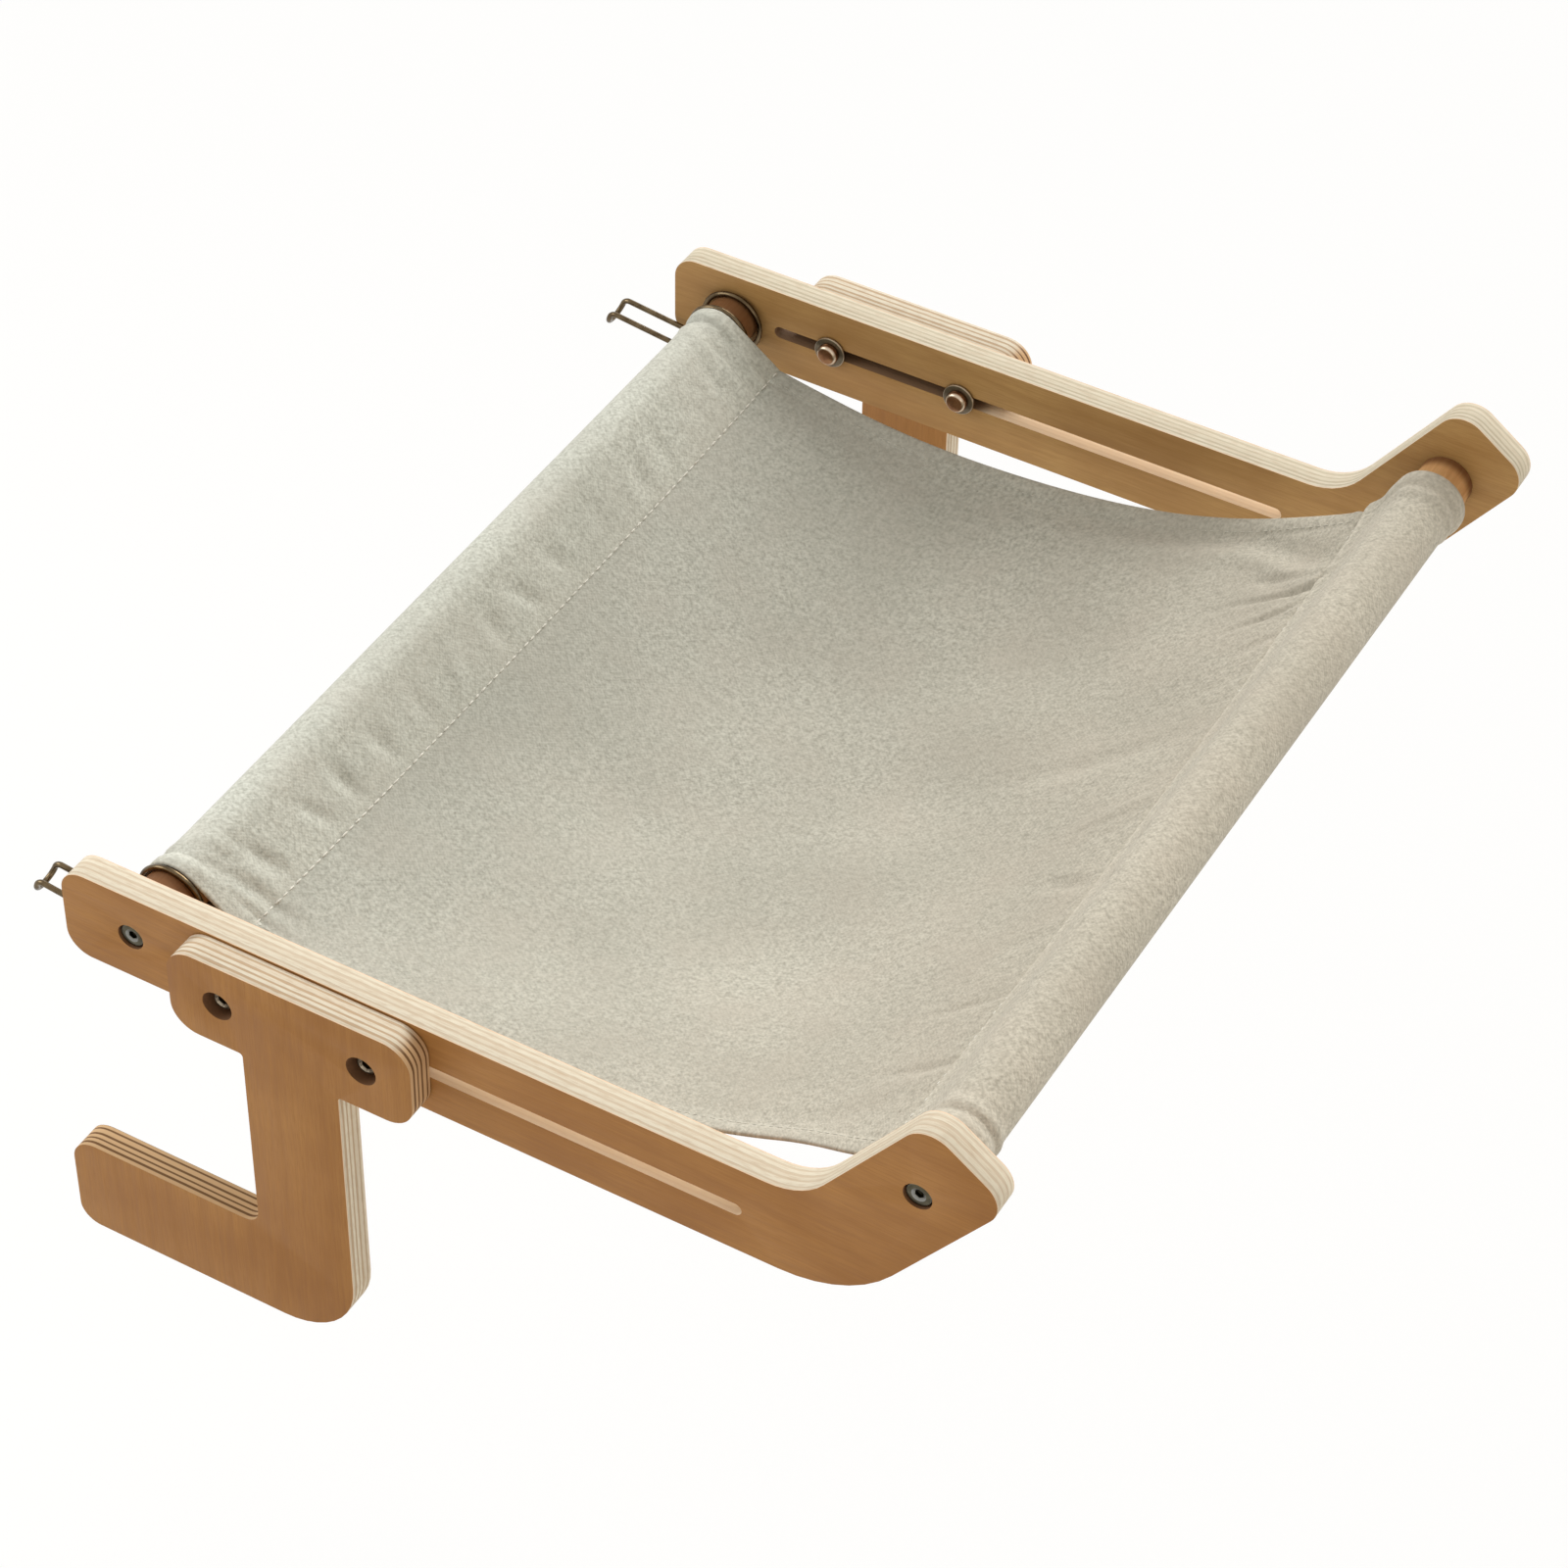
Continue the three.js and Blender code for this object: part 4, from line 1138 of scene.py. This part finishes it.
def thread(name, colour):
    """Twisted cotton: a fine slanting rib and a little fluff in its tone."""
    material, tree, surface = new_material(name)
    place = object_place(tree)
    ribs = {"Vector": place, "Scale": 1400.0, "Distortion": 2.0}
    twist = node(tree, "ShaderNodeTexWave", ribs, bands_direction="DIAGONAL")
    fluff = noise(place, 1500.0)
    darker = tuple(0.72 * c for c in colour[:3]) + (1,)
    colour = mixed(ranged(fluff, 0.35, 0.75), colour, darker)
    fill(surface, {"Base Color": colour, "Roughness": 0.85})
    finish_bump(tree, surface, twist.outputs["Fac"], 0.4, 0.0001)
    return material


STITCHES = stitch_tree()


def stitched(name, lines, pitch, shows, radius, colour):
    """Rows of stitches along several lines, joined in one piece."""
    piece = lines_object(name, lines)
    with_tree(piece, STITCHES, {"Pitch": pitch, "Length": pitch * shows, "Radius": radius, "Seed": 5,
                                "Finish": thread(f"{name}_thread", colour)})
    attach(piece, "frame")


seam_rows = [seam + len(flaps[0]) - 1 for seam in seam_at]
rear_line, front_line = [(over + outward * SEAM_PROUD)[row, 3:-3] for row in seam_rows]
hem_row = BY_HEM.index(HEM_STITCHED)
on_panel = slice(seam_rows[0] + 2, seam_rows[1] - 1)
hem_rows = (hem_row, rows - 1 - hem_row)
both_faces = (over + outward * HEM_PROUD, under - outward * HEM_PROUD)
hem_lines = [face[on_panel, row] for row in hem_rows for face in both_faces]
stitched("rear_seam_stitches", [rear_line], SEAM_STITCH, REAR_SHOWS, THREAD_R, THREAD_COLOUR)
stitched("front_seam_stitches", [front_line], SEAM_STITCH, FRONT_SHOWS, FRONT_THREAD_R, THREAD_COLOUR)
stitched("hem_stitches", hem_lines, HEM_STITCH, HEM_SHOWS, HEM_THREAD_R, HEM_THREAD_COLOUR)

# Studio: a pale floor well below the hammock, soft light that comes in over the far rail, a cool
# lamp on the window's side and a warm one in the room, and a surround that is darker on the near side.
FLOOR_DROP = 0.42
FLOOR_MIDDLE = (0.15, 0.27)
FLOOR_HALF = 12
FLOOR_TONE = (0.86, 0.85, 0.82, 1)
FLOOR_GLOW = 0.86                # share of the seen floor that is plain white
SURROUND_NEAR = (0.32, 0.28, 0.215, 1)
SURROUND_FAR = (0.84, 0.82, 0.78, 1)
WINDOW_STRENGTH, WINDOW_SPREAD, WINDOW_COLOUR = 2.6, 0.58, (1.0, 0.98, 0.935)
WINDOW_FALLS = Vector((-0.05, -2.0, -1.25))
# Each lamp's place from the hammock's middle, its size, watts and colour.
LAMPS = (("rear_window", (-1.45, -0.65, 0.95), 1.0, 10.0, (0.92, 0.97, 1.0)),
         ("room_fill", (2.0, -3.2, 0.75), 1.1, 8.0, (1.0, 0.96, 0.90)))
PHOTO_CAMERA = Vector((0.9075, -1.0750, 1.4384))
PHOTO_AZIMUTH, PHOTO_ELEVATION, PHOTO_ROLL = 28.98, 43.34, 1.376
PHOTO_LENS = 99.45
WHITE = (1, 1, 1, 1)


def seen_directly(tree):
    """Is this ray the camera's own, or one that it sends on through a shine or a clear piece?"""
    rays = tree.nodes.new("ShaderNodeLightPath").outputs
    onward = sums("MAXIMUM", rays["Is Glossy Ray"], rays["Is Transmission Ray"])
    return sums("MAXIMUM", rays["Is Camera Ray"], onward)


low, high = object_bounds()
centre = (low + high) / 2
corners = [(-FLOOR_HALF, -FLOOR_HALF, 0), (FLOOR_HALF, -FLOOR_HALF, 0), (FLOOR_HALF, FLOOR_HALF, 0),
           (-FLOOR_HALF, FLOOR_HALF, 0)]
floor_mesh = bpy.data.meshes.new("floor")
floor_mesh.from_pydata(corners, [], [(0, 1, 2, 3)])
floor_mesh.transform(Matrix.Translation((*FLOOR_MIDDLE, low.z - FLOOR_DROP)))
floor = placed("floor", floor_mesh)
material, tree, surface = new_material("pale_floor")
fill(surface, {"Base Color": FLOOR_TONE, "Roughness": 0.9})
glow = node(tree, "ShaderNodeEmission", {"Color": WHITE, "Strength": 1.0})
share_lit = times(seen_directly(tree), FLOOR_GLOW)
both = node(tree, "ShaderNodeMixShader", {0: share_lit, 1: surface.outputs[0], 2: glow.outputs[0]})
tree.links.new(both.outputs[0], tree.nodes["Material Output"].inputs["Surface"])
floor.data.materials.append(material)

world = bpy.data.worlds.new("surround")
bpy.context.scene.world = world
world.use_nodes = True
tree = world.node_tree
backdrop = tree.nodes["Background"]
direction = tree.nodes.new("ShaderNodeTexCoord").outputs["Generated"]
toward_far_side = node(tree, "ShaderNodeSeparateXYZ", {0: direction}).outputs[1]
soft = mixed(ranged(toward_far_side, -1.0, 1.0), SURROUND_NEAR, SURROUND_FAR)
fill(backdrop, {"Color": mixed(seen_directly(tree), soft, WHITE), "Strength": 1.0})


def aimed(name, light, falls):
    lamp = placed(name, light)
    lamp.rotation_euler = falls.to_track_quat("-Z", "Y").to_euler()
    return lamp


window = bpy.data.lights.new("window_light", "SUN")
window.energy, window.angle, window.color = WINDOW_STRENGTH, WINDOW_SPREAD, WINDOW_COLOUR
aimed("window_light", window, WINDOW_FALLS)
for name, offset, size, watts, colour in LAMPS:
    light = bpy.data.lights.new(name, "AREA")
    light.shape, light.size, light.energy, light.color = "DISK", size, watts, colour
    lamp = aimed(name, light, -Vector(offset))
    lamp.location = centre + Vector(offset)
    lamp.visible_camera = False

azimuth, elevation, roll = (math.radians(a) for a in (PHOTO_AZIMUTH, PHOTO_ELEVATION, PHOTO_ROLL))
right = Vector((math.cos(azimuth), math.sin(azimuth), 0))
level_back = Vector((math.sin(azimuth), -math.cos(azimuth), 0))
back = level_back * math.cos(elevation) + Vector((0, 0, math.sin(elevation)))
up = back.cross(right)
level = right * math.cos(roll) + up * math.sin(roll)
upright = up * math.cos(roll) - right * math.sin(roll)
camera_data = bpy.data.cameras.new("photo_camera")
camera_data.lens, camera_data.sensor_width = PHOTO_LENS, 36
camera_data.clip_start, camera_data.clip_end = 0.05, 60
camera = placed("photo_camera", camera_data)
camera.rotation_mode = "QUATERNION"
camera.rotation_quaternion = Matrix((level, upright, back)).transposed().to_quaternion()
camera.location = PHOTO_CAMERA
bpy.context.scene.camera = camera
bpy.context.scene.view_settings.view_transform = "Standard"
